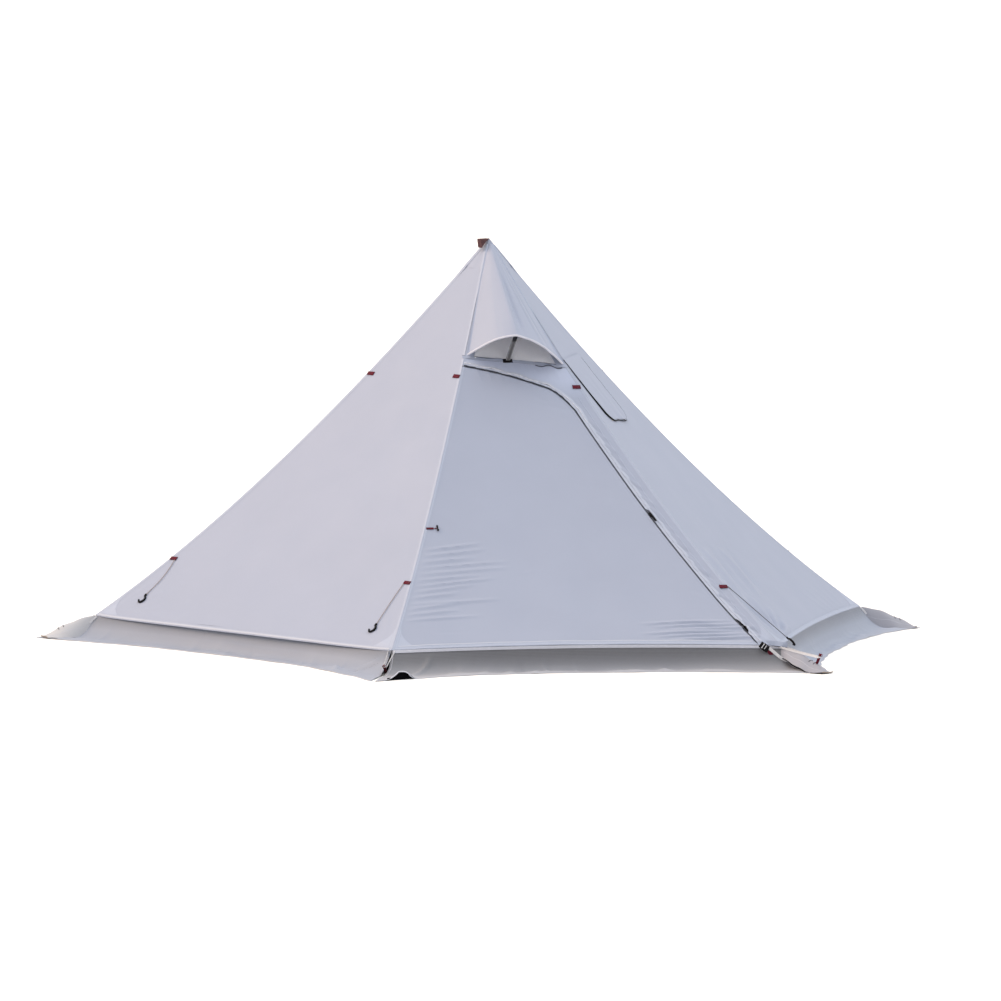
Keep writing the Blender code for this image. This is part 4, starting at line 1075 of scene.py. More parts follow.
def wire_hook(name, matrix):
    """A moulded S hook: a flattened wire with a knotted eye above and a ball at its open end."""
    path = transformed([(x * HOOK_WIDTH / 2, y * HOOK_LENGTH, 0) for x, y in HOOK_SHAPE], matrix)
    path = smooth_path(path, 56)
    share = np.linspace(0, 1, len(path))
    radius = HOOK_WIRE_RADIUS * (1.12 + 0.34 * np.sin(math.pi * share) - 0.12 * smooth((share - 0.85) / 0.15))
    radius[0] *= 0.4
    radius[-1] *= 0.4
    shape = Shape().tube(path, radius, sides=14)
    ball = bmesh.new()
    bmesh.ops.create_uvsphere(ball, u_segments=14, v_segments=10, radius=HOOK_WIRE_RADIUS * 1.2)
    shape.take(ball, Matrix.Translation(Vector(path[-2])))
    knot = bmesh.new()
    bmesh.ops.create_uvsphere(knot, u_segments=14, v_segments=10, radius=HOOK_WIRE_RADIUS * 1.45)
    bmesh.ops.scale(knot, vec=Vector((1.25, 1.0, 0.85)), verts=knot.verts[:])
    eye = Matrix(matrix).copy()
    eye.translation = Vector(path[2])
    shape.take(knot, eye)
    return shape.piece(name, [BLACK_PLASTIC], angle=50)


def finish_cord(label, points, matrix, lay):
    cord = cord_curve("elastic_" + label, points, DARK_ELASTIC if lay == "taut" else ELASTIC)
    hook = wire_hook("hook_" + label, matrix)
    place(cord, "canopy", "elastic", "hook_cord_" + label)
    place(hook, "canopy", "black_plastic", "cord_hook_" + label)


def hanging_cord(label, side, start, end, bow):
    anchors = []
    for i in range(5):
        share = i / 4
        lateral = start[0] + (end[0] - start[0]) * share + bow * math.sin(math.pi * share)
        slope = start[1] + (end[1] - start[1]) * share
        anchors.append(on_cloth(side, lateral, slope, CORD_LIFT))
    points = smooth_path(anchors, CORD_POINTS * 2)
    below = end[1] + GAP / slope_scale(end[1])
    matrix = side_matrix(side, end[0], below, CORD_LIFT + cloth_lift(side, end[0], below))
    finish_cord(label, points, matrix, "hanging")


def loop_cord_start(corner):
    _, sign = loop_side(corner)
    slope = LOWER_LOOP_SLOPES[corner]
    lateral = sign * (half_width(slope) - LOOP_LENGTH * CORD_START_SHARE)
    return lateral, slope + (LOOP_WIDTH / 2 + GAP) / slope_scale(slope)


def taut_cord():
    corner = CORNER_NAMES.index("front_right")
    slope = LOWER_LOOP_SLOPES[corner]
    lateral = half_width(slope) - LOOP_INSET + GAP + CORD_RADIUS
    start = side_point(FRONT, lateral, slope, FABRIC + TAUT_CORD_LIFT)
    outward, _ = side_axes(RIGHT)
    tip = ridge_point(corner, 1.0) + outward * TAUT_HOOK_REACH + UP * TAUT_HOOK_RISE
    run = unit(tip - start)
    end = tip - run * HOOK_LENGTH
    points = np.array([start + (end - start) * i / 15 for i in range(16)])
    across = unit(np.cross(run, outward))
    matrix = axes_matrix(across, -run, np.cross(across, -run), end + run * GAP)
    finish_cord("front_right", points, matrix, "taut")


def make_cords():
    start = loop_cord_start(CORNER_NAMES.index("left"))
    hanging_cord("left", LEFT, start, (start[0] + LEFT_CORD_DRIFT, LEFT_CORD_END_SLOPE), LEFT_CORD_BOW)
    start = loop_cord_start(CORNER_NAMES.index("front_left"))
    end = (start[0] + FRONT_CORD_DRIFT, FRONT_CORD_END_SLOPE)
    hanging_cord("front_left", LEFT, start, end, FRONT_CORD_BOW)
    taut_cord()


make_cords()


# Seam tapes, corner patches and hems

RIDGE_TAPE = 0.0145
PATCH_SLOPE = 0.923
PATCH_REACH = 0.15
PATCH_CURVE = 2.2
HEM_BAND = 0.027
HEM_ROLL = 0.0021
TRIM_THICKNESS = 0.0007
TRIM_LIFT = FABRIC + 0.0001


LEFT_DROOP = 0.0155


def low_edge(side, share):
    """The cloth's lower edge: the left side's hangs over the top of its skirt."""
    droop = LEFT_DROOP if side == LEFT else 0.0
    return hem_slope(share) + droop * (1 - share**2) ** 0.6


def arched(share, slope):
    """Slope shares eased so that the lowest row follows the hem's arch."""
    return slope * (1 - smooth((slope - 0.9) / 0.1) * (1 - hem_slope(share)))


def tape_reach(slope):
    flare = np.clip((slope - PATCH_SLOPE) / (1 - PATCH_SLOPE), 0, 1)
    return RIDGE_TAPE + (PATCH_REACH - RIDGE_TAPE) * flare**PATCH_CURVE


def add_tape(shape, corner, side, start, end, slot):
    """One side's half of a ridge tape. Towards the hem it widens into the corner's patch."""
    sign = -1 if side == corner else 1
    bend = min(max(PATCH_SLOPE - 0.01, start), end)
    nominal = np.linspace(start, bend, max(int((bend - start) * 90), 2))
    if end > bend:
        nominal = np.concatenate([nominal[:-1], np.linspace(bend, end, 26)])
    nominal = nominal[:, None]
    across = np.linspace(0, 1, 9)[None, :]
    share = sign * (1 - tape_reach(nominal) * across / half_width(nominal))
    slope = arched(share, nominal)
    near_cap = 1 - smooth((slope - CAP_SLOPE - 0.002) / 0.012)
    lift = TRIM_LIFT + 0.0010 * (1 - across) ** 2 + (CAP_LIFT + 0.0024 - TRIM_LIFT) * near_cap
    points = on_cloth(side, share * half_width(slope), slope, lift)
    other = (corner - 1) % SIDES if side == corner else corner
    crest = side_normal(side, slope[:, 0]) + side_normal(other, slope[:, 0])
    crest /= np.linalg.norm(crest, axis=1, keepdims=True)
    points[:, 0] = ridge_point(corner, slope[:, 0]) + crest * (lift[:, :1] + 0.0004)
    uv = pair(nominal * SLOPE_LENGTH, tape_reach(nominal) * across)
    shape.slab(points, TRIM_THICKNESS, side_normal(side, 0.5), uv, slot)


def add_hem(shape, side, start, end, count, slot):
    """The doubled hem along part of a side: a raised fold above, a rolled edge below."""
    share = np.linspace(start, end, count)[None, :]
    down = np.linspace(0, 1, 15)[:, None]
    low = low_edge(side, share)
    slope = low - HEM_BAND * (1 - down) / SLOPE_LENGTH
    fold = gauss(down, 0.10, 0.09) + 0.5 * gauss(down, 0.82, 0.10)
    pucker = 0.0003 * np.sin(share * HALF_SIDE / 0.011 + 3 * np.sin(share * 9.0)) * np.sin(math.pi * down)
    lateral = share * (half_width(slope) - 0.0006)
    points = on_cloth(side, lateral, slope, TRIM_LIFT + 0.0011 + 0.0011 * fold + pucker)
    uv = pair(share * HALF_SIDE, HEM_BAND * down)
    shape.slab(points, TRIM_THICKNESS, side_normal(side, 0.5), uv, slot)
    share, low = share[0], low[0]
    wobble = 0.0006 * np.sin(share * 31.0 + side) * np.sin(share * 17.0)
    edge = on_cloth(side, share * (half_width(low) - 0.0006), low, 0.0012 + wobble)
    shape.tube(edge, HEM_ROLL + 0.4 * wobble, slot=slot)


# Canopy

CANOPY_ROWS = 190
FINE_COLUMNS = 130
COARSE_COLUMNS = 44


def canopy_grid():
    """One continuous sheet round the five closed sides, creased at the ridges."""
    slopes = TOP_HOLE_SLOPE + (1 - TOP_HOLE_SLOPE) * (1 - (1 - np.linspace(0, 1, CANOPY_ROWS + 1)) ** 1.35)
    blocks = []
    weave = []
    for side in range(1, SIDES):
        columns = FINE_COLUMNS if side in (RIGHT, LEFT) else COARSE_COLUMNS
        share = np.linspace(-1, 1, columns + 1)
        if side == RIGHT:
            share = 2 * ((share + 1) / 2) ** 1.4 - 1
        slope = np.repeat(slopes[:, None], columns + 1, axis=1)
        arch = smooth((slope - 0.9) / 0.1)
        slope = slope * (1 - arch * (1 - low_edge(side, share))[None, :])
        lateral = share[None, :] * half_width(slope)
        points = on_cloth(side, lateral, slope, CLOTH_BASE)
        uv = pair(lateral + side * 3.0, slope * SLOPE_LENGTH)
        last = None if side == LEFT else -1
        blocks.append(points[:, :last])
        weave.append(uv[:, :last])
    return np.concatenate(blocks, axis=1), np.concatenate(weave, axis=1)


def cut_pipe_hole(item):
    """Opens the right side behind the heatproof panel."""
    matrix = side_matrix(RIGHT, JACK_LATERAL, JACK_SLOPE).inverted()
    half_across = PIPE_HOLE_WIDTH / 2 + PIPE_HOLE_MARGIN
    half_along = PIPE_HOLE_LENGTH / 2 + PIPE_HOLE_MARGIN
    shape = bmesh.new()
    shape.from_mesh(item.data)
    inside = []
    for face in shape.faces:
        centre = matrix @ face.calc_center_median()
        if abs(centre.z) < 0.02 and math.hypot(centre.x / half_across, centre.y / half_along) < 1:
            inside.append(face)
    bmesh.ops.delete(shape, geom=inside, context="FACES")
    border = [edge for edge in shape.edges if edge.is_boundary]
    bmesh.ops.bridge_loops(shape, edges=border)
    shape.to_mesh(item.data)
    shape.free()


def make_canopy():
    points, uv = canopy_grid()
    outward = points * np.array((1, 1, 0)) + UP
    item = Shape().slab(points, CLOTH, outward, uv).piece("canopy_cloth_sides", [CANOPY], angle=24)
    cut_pipe_hole(item)
    item.data.set_sharp_from_angle(angle=math.radians(24))
    names = ["panel_" + name for name in SIDE_NAMES[1:]]
    place(item, "canopy", "canopy", *names)


def make_trim():
    """Tapes over the ridges and the hems of the five closed sides."""
    shape = Shape()
    for corner in range(SIDES):
        for side in ((corner - 1) % SIDES, corner):
            if side != FRONT:
                add_tape(shape, corner, side, 0.014, 1.0, 0)
    for side in range(1, SIDES):
        add_hem(shape, side, -1.0, 1.0, 240, 0)
    # A paler band along the left side's drooping hem paints a highlight on the fold
    share = np.linspace(-0.985, 0.985, 240)
    slope = low_edge(LEFT, share) - 0.0036
    fold = on_cloth(LEFT, share * half_width(slope), slope, FABRIC + 0.0034)
    shape.band(fold, side_normal(LEFT, 1.0), 0.0130, 0.0010, 1)
    place(shape.piece("ridge_tapes_and_hems", [SEAM_TAPE, LIT_HEM_FOLD]), "canopy", "canopy")


make_canopy()
make_trim()


# Door side

def vent_line(lateral):
    tilt = (VENT_SLOPE_RIGHT - VENT_SLOPE_LEFT) / (half_width(VENT_SLOPE_LEFT) + half_width(VENT_SLOPE_RIGHT))
    return VENT_MIDDLE + tilt * lateral


TOP_POINTS = 60
TURN_POINTS = 24
SIDE_POINTS = 170


def door_line():
    """The door zip: across the top from the left ridge, round a corner, then down beside the right ridge."""
    left = (-half_width(DOOR_TOP_SLOPE), DOOR_TOP_SLOPE)
    corner = (DOOR_TOP_CORNER_LATERAL, DOOR_TOP_CORNER_SLOPE)
    share = np.linspace(0, 1, TOP_POINTS, endpoint=False)
    crown = DOOR_TOP_CROWN * 4 * share * (1 - share)
    top = pair(left[0] + (corner[0] - left[0]) * share, left[1] + (corner[1] - left[1]) * share - crown)
    turn_end_slope = corner[1] + DOOR_TURN_SLOPE
    turn_end = (half_width(turn_end_slope) - JAMB_WIDTH, turn_end_slope)
    control = (corner[0] + DOOR_TURN_REACH, corner[1] + DOOR_TURN_DIP)
    u = np.linspace(0, 1, TURN_POINTS, endpoint=False)[:, None]
    turn = np.array(corner) * (1 - u) ** 2 + np.array(control) * 2 * u * (1 - u) + np.array(turn_end) * u * u
    last = hem_slope(1 - JAMB_WIDTH / HALF_SIDE)
    slope = np.linspace(turn_end_slope, last, SIDE_POINTS)
    straight = pair(half_width(slope) - JAMB_WIDTH, slope)
    return np.concatenate([top, turn, straight])


def offset_line(line, distance):
    """The line moved sideways in the cloth, towards the fixed strip for a positive distance."""
    scale = slope_scale(line[:, 1])
    run = np.gradient(line, axis=0)
    run[:, 1] *= scale
    run /= np.linalg.norm(run, axis=1, keepdims=True)
    distance = np.broadcast_to(distance, (len(line),))
    moved = line.copy()
    moved[:, 0] += run[:, 1] * distance
    moved[:, 1] += -run[:, 0] * distance / scale
    return moved


LINE = door_line()


def front_frame_grid():
    inner = offset_line(LINE, DOOR_GAP)
    inner[0] = (-half_width(inner[0][1]) + GAP, inner[0][1])
    turn = TOP_POINTS + TURN_POINTS // 2
    turn_end = TOP_POINTS + TURN_POINTS
    outer = np.zeros_like(inner)
    reach = half_width(VENT_SLOPE_LEFT) + half_width(VENT_SLOPE_RIGHT)
    for i, (_, slope) in enumerate(inner):
        if i <= turn:
            lateral = -half_width(VENT_SLOPE_LEFT) + reach * i / turn
            outer[i] = (lateral, vent_line(lateral))
        elif i < turn_end:
            share = (i - turn) / (turn_end - turn)
            slope = VENT_SLOPE_RIGHT + (inner[turn_end][1] - VENT_SLOPE_RIGHT) * share
            outer[i] = (half_width(slope), slope)
        else:
            lift = smooth((slope - 0.9) / 0.1) * (1 - inner[-1][1])
            outer[i] = (half_width(min(slope + lift, 1.0)), min(slope + lift, 1.0))
    outer[:, 0] -= GAP
    share = np.linspace(0, 1, 15)[None, :, None]
    place_grid = inner[:, None, :] * (1 - share) + outer[:, None, :] * share
    points = on_cloth(FRONT, place_grid[..., 0], place_grid[..., 1], CLOTH_BASE)
    uv = np.stack([place_grid[..., 0], place_grid[..., 1] * SLOPE_LENGTH], axis=-1)
    return points, uv


FRONT_OUT = side_normal(FRONT, 0.5)
STRIP_SEAM = 0.052


def add_strip_seam(shape, slot):
    """The sewn fold that runs down the fixed strip beside the right ridge."""
    slope = np.linspace(0.345, 0.975, 150)
    wander = 0.0012 * np.sin(slope * 83) + 0.0010 * np.sin(slope * 171)
    path = on_cloth(FRONT, half_width(slope) - STRIP_SEAM + wander, slope, FABRIC + 0.0006)
    shape.band(path, FRONT_OUT, 0.0046, 0.0016, slot)


def make_front_frame():
    points, uv = front_frame_grid()
    shape = Shape().slab(points, CLOTH, FRONT_OUT, uv)
    add_tape(shape, 1, FRONT, LIP_SLOPE_RIGHT, 1.0, 1)
    add_tape(shape, 0, FRONT, LIP_SLOPE_LEFT, DOOR_TOP_SLOPE - 0.002, 1)
    add_hem(shape, FRONT, 1 - (JAMB_WIDTH - 0.004) / HALF_SIDE, 1.0, 40, 1)
    add_strip_seam(shape, 1)
    item = shape.piece("front_strip_cloth", [FRAME_CLOTH, SEAM_TAPE])
    place(item, "canopy", "canopy", "front_frame")


DOOR_ROWS = 210
DOOR_COLUMNS = 112


def door_grid():
    edge = offset_line(LINE, -DOOR_GAP)
    edge[0] = (-half_width(edge[0][1]) + GAP, edge[0][1])
    top = resample(edge[: TOP_POINTS + 1], DOOR_COLUMNS + 1)
    share = 1 - (1 - np.linspace(0, 1, DOOR_ROWS + 1)) ** 1.3
    right = resample(edge[TOP_POINTS:], 1200)[np.round(share * 1199).astype(int)]
    left_slope = top[0][1] + (1 - top[0][1]) * share
    left = pair(-half_width(left_slope) + GAP, left_slope)
    across = np.linspace(0, 1, DOOR_COLUMNS + 1)[None, :, None]
    grid = left[:, None, :] * (1 - across) + right[:, None, :] * across
    straight = grid[0].copy()
    fade = (1 - smooth(share / 0.12))[:, None, None]
    grid = grid + (top - straight)[None] * fade
    lateral, slope = grid[..., 0], grid[..., 1]
    bottom = smooth((share - 0.9) / 0.1)[:, None]
    wanted = hem_slope(np.clip(grid[-1, :, 0] / HALF_SIDE, -1, 1))
    slope = slope + bottom * (wanted - grid[-1, :, 1])[None, :]
    points = on_cloth(FRONT, lateral, slope, CLOTH_BASE)
    uv = pair(lateral, slope * SLOPE_LENGTH)
    return points, uv


def make_door():
    points, uv = door_grid()
    shape = Shape().slab(points, CLOTH, FRONT_OUT, uv)
    add_tape(shape, 0, FRONT, DOOR_TOP_SLOPE + 0.001, 1.0, 1)
    add_hem(shape, FRONT, -1.0, 1 - (JAMB_WIDTH + 0.004) / HALF_SIDE, 220, 1)
    edge = offset_line(LINE, -DOOR_GAP - 0.0012)[2:-2]
    shape.tube(on_cloth(FRONT, edge[:, 0], edge[:, 1], FABRIC), 0.0014, sides=6, slot=1)
    # A paler band on the stitched fold above the door's hem paints a highlight on it
    share = np.linspace(-0.97, 1 - (JAMB_WIDTH + 0.02) / HALF_SIDE, 200)
    line = hem_slope(share) - 0.0105
    stitched = on_cloth(FRONT, share * half_width(line), line, FABRIC + 0.0020)
    shape.band(stitched, side_normal(FRONT, 1.0), 0.0075, 0.0009, 2)
    item = shape.piece("door_cloth", [CANOPY, SEAM_TAPE, LIT_HEM_FOLD])
    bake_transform(item)
    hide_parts("door_panel")


make_front_frame()
make_door()


# Vent

def lip_slope(share):
    return LIP_SLOPE_LEFT + (LIP_SLOPE_RIGHT - LIP_SLOPE_LEFT) * (share + 1) / 2


def lip_arch(share):
    share = np.asarray(share, float)
    left = np.clip((LIP_PEAK_SHARE - share) / (LIP_PEAK_SHARE + 1), 0, None)
    right = np.clip((share - LIP_PEAK_SHARE) / (1 - LIP_PEAK_SHARE), 0, None)
    return 1 - np.maximum(left, right) ** LIP_ROUNDNESS


HOOD_LIFT = FABRIC + GAP


def hood_lift(share, slope):
    return HOOD_LIFT + LIP_RISE * slope / lip_slope(share) * lip_arch(share)


def hood_folds(share, down):
    """Creases of the propped cowl: a sharp crest over the strut and softer ones to its right."""
    grown = smooth(down * 1.25)
    pull = down**1.5
    calm = 1 - 0.72 * smooth((down - 0.78) / 0.22)
    wide = np.where(share < -0.115, 0.17, 0.034)
    crest = 0.010 * grown * calm * gauss(share, -0.115, wide)
    valley = -0.012 * grown * calm * gauss(share, 0.050, 0.080)
    second = 0.0085 * grown * calm * gauss(share, 0.30 + 0.24 * down, 0.050)
    dip = -0.006 * grown * calm * gauss(share, 0.44 + 0.26 * down, 0.050)
    swell = 0.010 * pull * gauss(share, -0.55, 0.24)
    sag = -0.0015 * pull * gauss(share, -0.44, 0.05)
    return crest + valley + second + dip + swell + sag


HOOD_TOP = 0.012
HOOD_INSET = 0.060


def hood_grid(columns=128, rows=72):
    share = np.linspace(-1, 1, columns + 1)[None, :]
    down = np.linspace(0, 1, rows + 1)[:, None]
    slope = HOOD_TOP + (lip_slope(share) - HOOD_TOP) * down
    narrowed = 1 - HOOD_INSET * smooth((down - 0.15) / 0.85)
    lateral = share * narrowed * (half_width(slope) - 2 * GAP)
    edge = smooth((1 - np.abs(share)) / 0.06)
    lift = hood_lift(share, slope) + CLOTH_BASE + hood_folds(share, down) * edge
    over_cap = CAP_LIFT + CAP_THICKNESS + 0.0012
    near_cap = 1 - smooth((slope - CAP_SLOPE - 0.002) / 0.018)
    lift = np.maximum(lift, HOOD_LIFT + (over_cap - HOOD_LIFT) * near_cap)
    return share, down, side_point(FRONT, lateral, slope, lift)


def make_hood():
    share, down, points = hood_grid()
    spread = share * 0.36 * (0.25 + 0.75 * down)
    uv = pair(spread, down * 0.62)
    shape = Shape().slab(points, CLOTH, FRONT_OUT, uv)
    lip = resample(points[-1], 150)
    place_along = np.linspace(0, 1, len(lip))
    radius = 0.0056 + 0.0005 * np.sin(place_along * 70) * np.sin(place_along * 31)
    shape.tube(lip + FRONT_OUT * 0.0008, radius, sides=10, slot=1)
    # The fold-back inside the lip
    inward = np.gradient(points, axis=0)[-3, 60]
    shape.ribbon(resample(points[-3], 150) - FRONT_OUT * 0.0012, inward, 0.018, 0.0008, 2)
    for side_share in (1, -2):
        edge = points[:, side_share] + FRONT_OUT * 0.0014
        shape.ribbon(edge, np.array((1.0, 0, 0)), 0.012, 0.0009, 2)
    item = shape.piece("vent_hood_cloth", [CANOPY, PIPING_AND_HIGHLIGHT, SEAM])
    place(item, "canopy", "canopy", "vent_hood")
    top = side_point(FRONT, 0, HOOD_TOP, CAP_LIFT + CAP_THICKNESS + 0.0012)
    low = side_point(FRONT, 0, 0.262, 0.006)
    chord = unit(np.cross(side_axes(FRONT)[1], low - top))
    chord = chord * np.sign(chord.dot(FRONT_OUT))
    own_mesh(item)


def mesh_grid():
    share = np.linspace(-1, 1, 61)[None, :]
    down = np.linspace(0, 1, 41)[:, None]
    end = vent_line(share * half_width(VENT_MIDDLE)) - 0.0003
    slope = TOP_HOLE_SLOPE + (end - TOP_HOLE_SLOPE) * down
    lateral = share * (half_width(slope) - GAP)
    sag = -0.006 * (1 - share**2) * np.sin(math.pi * down**0.8)
    ruck = 0.0028 * gauss(down, 0.93, 0.05) * np.sin(share * 16 + 2 * np.sin(share * 7)) * (1 - share**8)
    return side_point(FRONT, lateral, slope, CLOTH_BASE + sag + ruck)


def make_mesh():
    item = Shape().slab(mesh_grid(), 0.0007, FRONT_OUT)
    share = np.linspace(-0.985, 0.985, 140)
    lateral = share * half_width(VENT_MIDDLE)
    slope = vent_line(lateral) - 0.0035
    band = on_cloth(FRONT, lateral, slope, FABRIC + 0.0003)
    down = side_point(FRONT, 0, 0.27) - side_point(FRONT, 0, 0.23)
    item.ribbon(band + FRONT_OUT * 0.0012, down, 0.021, 0.0009, 1)
    wave = 0.0018 * np.sin(share * 21 + 2.2 * np.sin(share * 6)) * (1 - share**6)
    seam = side_point(FRONT, lateral, slope - 0.0030 + wave / SLOPE_LENGTH * 1.4, FABRIC + 0.0008)
    item.tube(seam, 0.0015, sides=6, slot=2)
    # A dark tube along the fold at the net's foot, right of the strut, paints the shade in that fold
    fold = np.linspace(0.115, 0.262, 60)
    fold_slope = vent_line(fold) + 0.0005 + 0.0030 * np.sin((fold - 0.115) * 62) * gauss(fold, 0.20, 0.08)
    item.tube(side_point(FRONT, fold, fold_slope, FABRIC + 0.0016), 0.0026, slot=3)
    # Cloth margins between the ridges and the net
    for sign in (-1, 1):
        margin = np.linspace(1.0, 0.80, 9)[None, :]
        down_share = np.linspace(0.26, 1.0, 30)[:, None]
        ends = vent_line(sign * margin * half_width(VENT_MIDDLE)) - 0.0006
        place_slope = TOP_HOLE_SLOPE + (ends - TOP_HOLE_SLOPE) * down_share
        place_lateral = sign * margin * (half_width(place_slope) - 0.0008)
        bulge = 0.0010 + 0.0022 * np.sin(math.pi * (1 - margin) / 0.2)
        item.slab(side_point(FRONT, place_lateral, place_slope, FABRIC + bulge), 0.0005, FRONT_OUT, slot=4)
    item = item.piece("vent_mesh_net", [NET, CANOPY, DARK_THREAD, ZIP_TAPE_AND_FOLD_SHADE, CANOPY])
    place(item, "canopy", "mesh", "vent_mesh")


STRUT_LIFT = FABRIC + GAP + FOOT_HEIGHT + GAP + STRUT_THICKNESS / 2


def strut_matrix():
    return side_matrix(FRONT, STRUT_LATERAL, STRUT_SLOPE, STRUT_LIFT)


def strut_length():
    length = LIP_RISE
    for _ in range(20):
        tip = STRUT_SLOPE - length * math.sin(STRUT_LEAN) / slope_scale(STRUT_SLOPE)
        edge = STRUT_LATERAL + math.copysign(STRUT_WIDTH / 2, STRUT_LATERAL)
        length = (hood_lift(edge / half_width(tip), tip) - STRUT_LIFT - STRUT_TIP_GAP) / math.cos(STRUT_LEAN)
    return float(length)


def make_strut():
    matrix = np.array(strut_matrix() @ Matrix.Rotation(STRUT_LEAN, 4, "X").inverted())
    length = strut_length()
    rise = np.linspace(-STRUT_THICKNESS / 2, length, 60)
    bow = 0.0022 * np.sin(math.pi * rise / length)
    path = transformed(np.stack([0 * rise, bow, rise], axis=1), matrix)
    shape = Shape()
    shape.ribbon(path, matrix[:3, 0], STRUT_WIDTH, STRUT_THICKNESS, 0)
    # Stitched folds beside both edges and a hook-and-loop patch at the top
    for sign in (-1, 1):
        line = path + matrix[:3, 0] * (sign * (STRUT_WIDTH / 2 - 0.0032))
        line = line - matrix[:3, 1] * (STRUT_THICKNESS / 2)
        shape.tube(line[2:-2], 0.0007, sides=5, slot=1)
    top = path[-16:-2] - matrix[:3, 1] * (STRUT_THICKNESS / 2 + 0.0006)
    shape.ribbon(top, matrix[:3, 0], STRUT_WIDTH * 0.82, 0.0016, 2)
    item = shape.piece("vent_strut_webbing", [GREY_WEBBING, THREAD, BLACK_BINDING])
    place(item, "vent_strut", "strut", "vent_strut")

    foot = side_matrix(FRONT, STRUT_LATERAL, STRUT_SLOPE, FABRIC + GAP + FOOT_HEIGHT / 2)
    base = shifted(foot, (0, 0, -0.0011))
    shape = Shape().block((FOOT_LENGTH, FOOT_WIDTH, FOOT_HEIGHT * 0.62), base, 0.0012, 3)
    for sign in (-1, 1):
        boss = shifted(foot, (sign * (FOOT_LENGTH / 2 - 0.0075), 0, 0.0006))
        shape.block((0.0085, FOOT_WIDTH * 0.72, FOOT_HEIGHT * 0.8), boss, 0.0010, 2)
    for i in range(5):
        rib = shifted(foot, (-0.012 + 0.006 * i, -FOOT_WIDTH * 0.26, 0.0012))
        shape.block((0.0018, FOOT_WIDTH * 0.34, 0.0022), rib, 0.0005, 2)
    place(shape.piece("vent_foot_plate", [BLACK_PLASTIC]), "canopy", "black_plastic", "vent_foot")


make_hood()
make_mesh()
make_strut()


# Apex cap

def cap_raise():
    return CAP_LIFT / float(side_normal(FRONT, CAP_SLOPE / 2)[2])


def cap_point(side, share, slope, lift=0.0):
    outward, along = side_axes(side)
    level = height(np.maximum(slope, 0.0)) + cap_raise()
    flat = outward * (SIDE_DISTANCE * slope)[..., None] + along * (share * half_width(slope))[..., None]
    return flat + UP * level[..., None] + side_normal(side, slope) * np.asarray(lift)[..., None]


# The wedge seen from the front: how far out, and how far above its top edge
WEDGE_OUTLINE = (
    (0.008, 0.0), (0.076, 0.0), (0.0750, -0.010), (0.067, -0.048), (0.061, -0.040), (0.033, -0.015),
)


def make_cap():
    shape = Shape()
    blocks = []
    down = np.linspace(0.02, 1, 15)[:, None]
    for side in range(SIDES):
        share = np.linspace(-1, 1, 13)[None, :-1]
        slope = CAP_SLOPE * down + 0 * share
        sag = 0.0020 * down * (1 - share**2) * np.sin(3 * share + side)
        blocks.append(cap_point(side, share + 0 * down, slope, 0.0003 + np.abs(sag)))
    blocks.append(blocks[0][:, :1])
    points = np.concatenate(blocks, axis=1)
    points[-2] -= UP * 0.0012
    points[-1] -= UP * 0.0052
    shape.slab(points, CAP_THICKNESS * 0.45, UP)
    for side in range(SIDES):
        seam = points[:-1, side * 12] + UP * 0.0010
        shape.tube(seam, 0.0013, sides=6)
    tip = points[0].mean(axis=0)
    knob = [(0.0002, 0.0055), (0.0022, 0.0045), (0.0030, 0.0020), (0.0034, -0.0020)]
    shape.turned(knob[::-1], Matrix.Translation(Vector(tip)), sides=14, slot=1)
    # The webbing wedge that stands out to the left, folded over and over itself
    outward, along = side_axes(LEFT)
    high = tip[2] + 0.0035
    rings = []
    for lateral in (-CAP_TAB_WIDTH / 2, CAP_TAB_WIDTH / 2):
        rings.append([outward * out + UP * (high + drop) + along * lateral for out, drop in WEDGE_OUTLINE])
    shape.loft(np.array(rings), slot=2)
    for drop in (0.009, 0.018, 0.027, 0.036):
        near = outward * (0.024 + 1.20 * drop) + UP * (high - drop)
        far = outward * (0.0755 - 0.16 * drop) + UP * (high - drop)
        for sign in (-1, 1):
            aside = along * (sign * (CAP_TAB_WIDTH / 2 + 0.0002))
            fold = smooth_path([near + aside, (near + far) / 2 + aside, far + aside], 9)
            shape.tube(fold, 0.0008, sides=5, slot=2)
    item = shape.piece("apex_cap_cloth", [CANOPY, SEAM, WEDGE_WEBBING])
    place(item, "canopy", "canopy", "apex_cap")


WEDGE_WEBBING = webbing_paint("apex_wedge_weave", (0.060, 0.012, 0.018))
make_cap()


# Stove-pipe opening

JACK_LIFT = FABRIC + GAP
FLAP_LIFT = JACK_LIFT + JACK_THICKNESS + GAP


def jack_place(across, along, lift):
    """A place over the pipe opening, in metres across and down the cloth from its middle."""
    slope = JACK_SLOPE + np.asarray(along, float) / slope_scale(JACK_SLOPE)
    return side_point(RIGHT, JACK_LATERAL + np.asarray(across, float), slope, lift)


def make_jack():
    turn = np.linspace(0, 2 * math.pi, 97)[None, :]
    out = np.linspace(0, 1, 9)[:, None]
    oval = (PIPE_HOLE_WIDTH / 2 * np.cos(turn), PIPE_HOLE_LENGTH / 2 * np.sin(turn))
    reach = 1 / np.maximum(np.abs(np.cos(turn)) / (JACK_WIDTH / 2), np.abs(np.sin(turn)) / (JACK_LENGTH / 2))
    edge = (np.cos(turn) * reach, np.sin(turn) * reach)
    across = oval[0] + (edge[0] - oval[0]) * out
    along = oval[1] + (edge[1] - oval[1]) * out
    points = jack_place(across, along, JACK_LIFT)
    uv = pair(across, along)
    normal = side_normal(RIGHT, JACK_SLOPE)
    shape = Shape().slab(points, JACK_THICKNESS * 0.75, normal, uv)
    ring = jack_place(oval[0][0] * 1.05, oval[1][0] * 1.035, JACK_LIFT + JACK_THICKNESS * 0.6)
    shape.tube(ring[:-1], 0.0016, sides=6, slot=1)
    item = shape.piece("stove_jack_panel", [JACK, DARK_THREAD])
    place(item, "canopy", "stove_jack", "stove_jack")


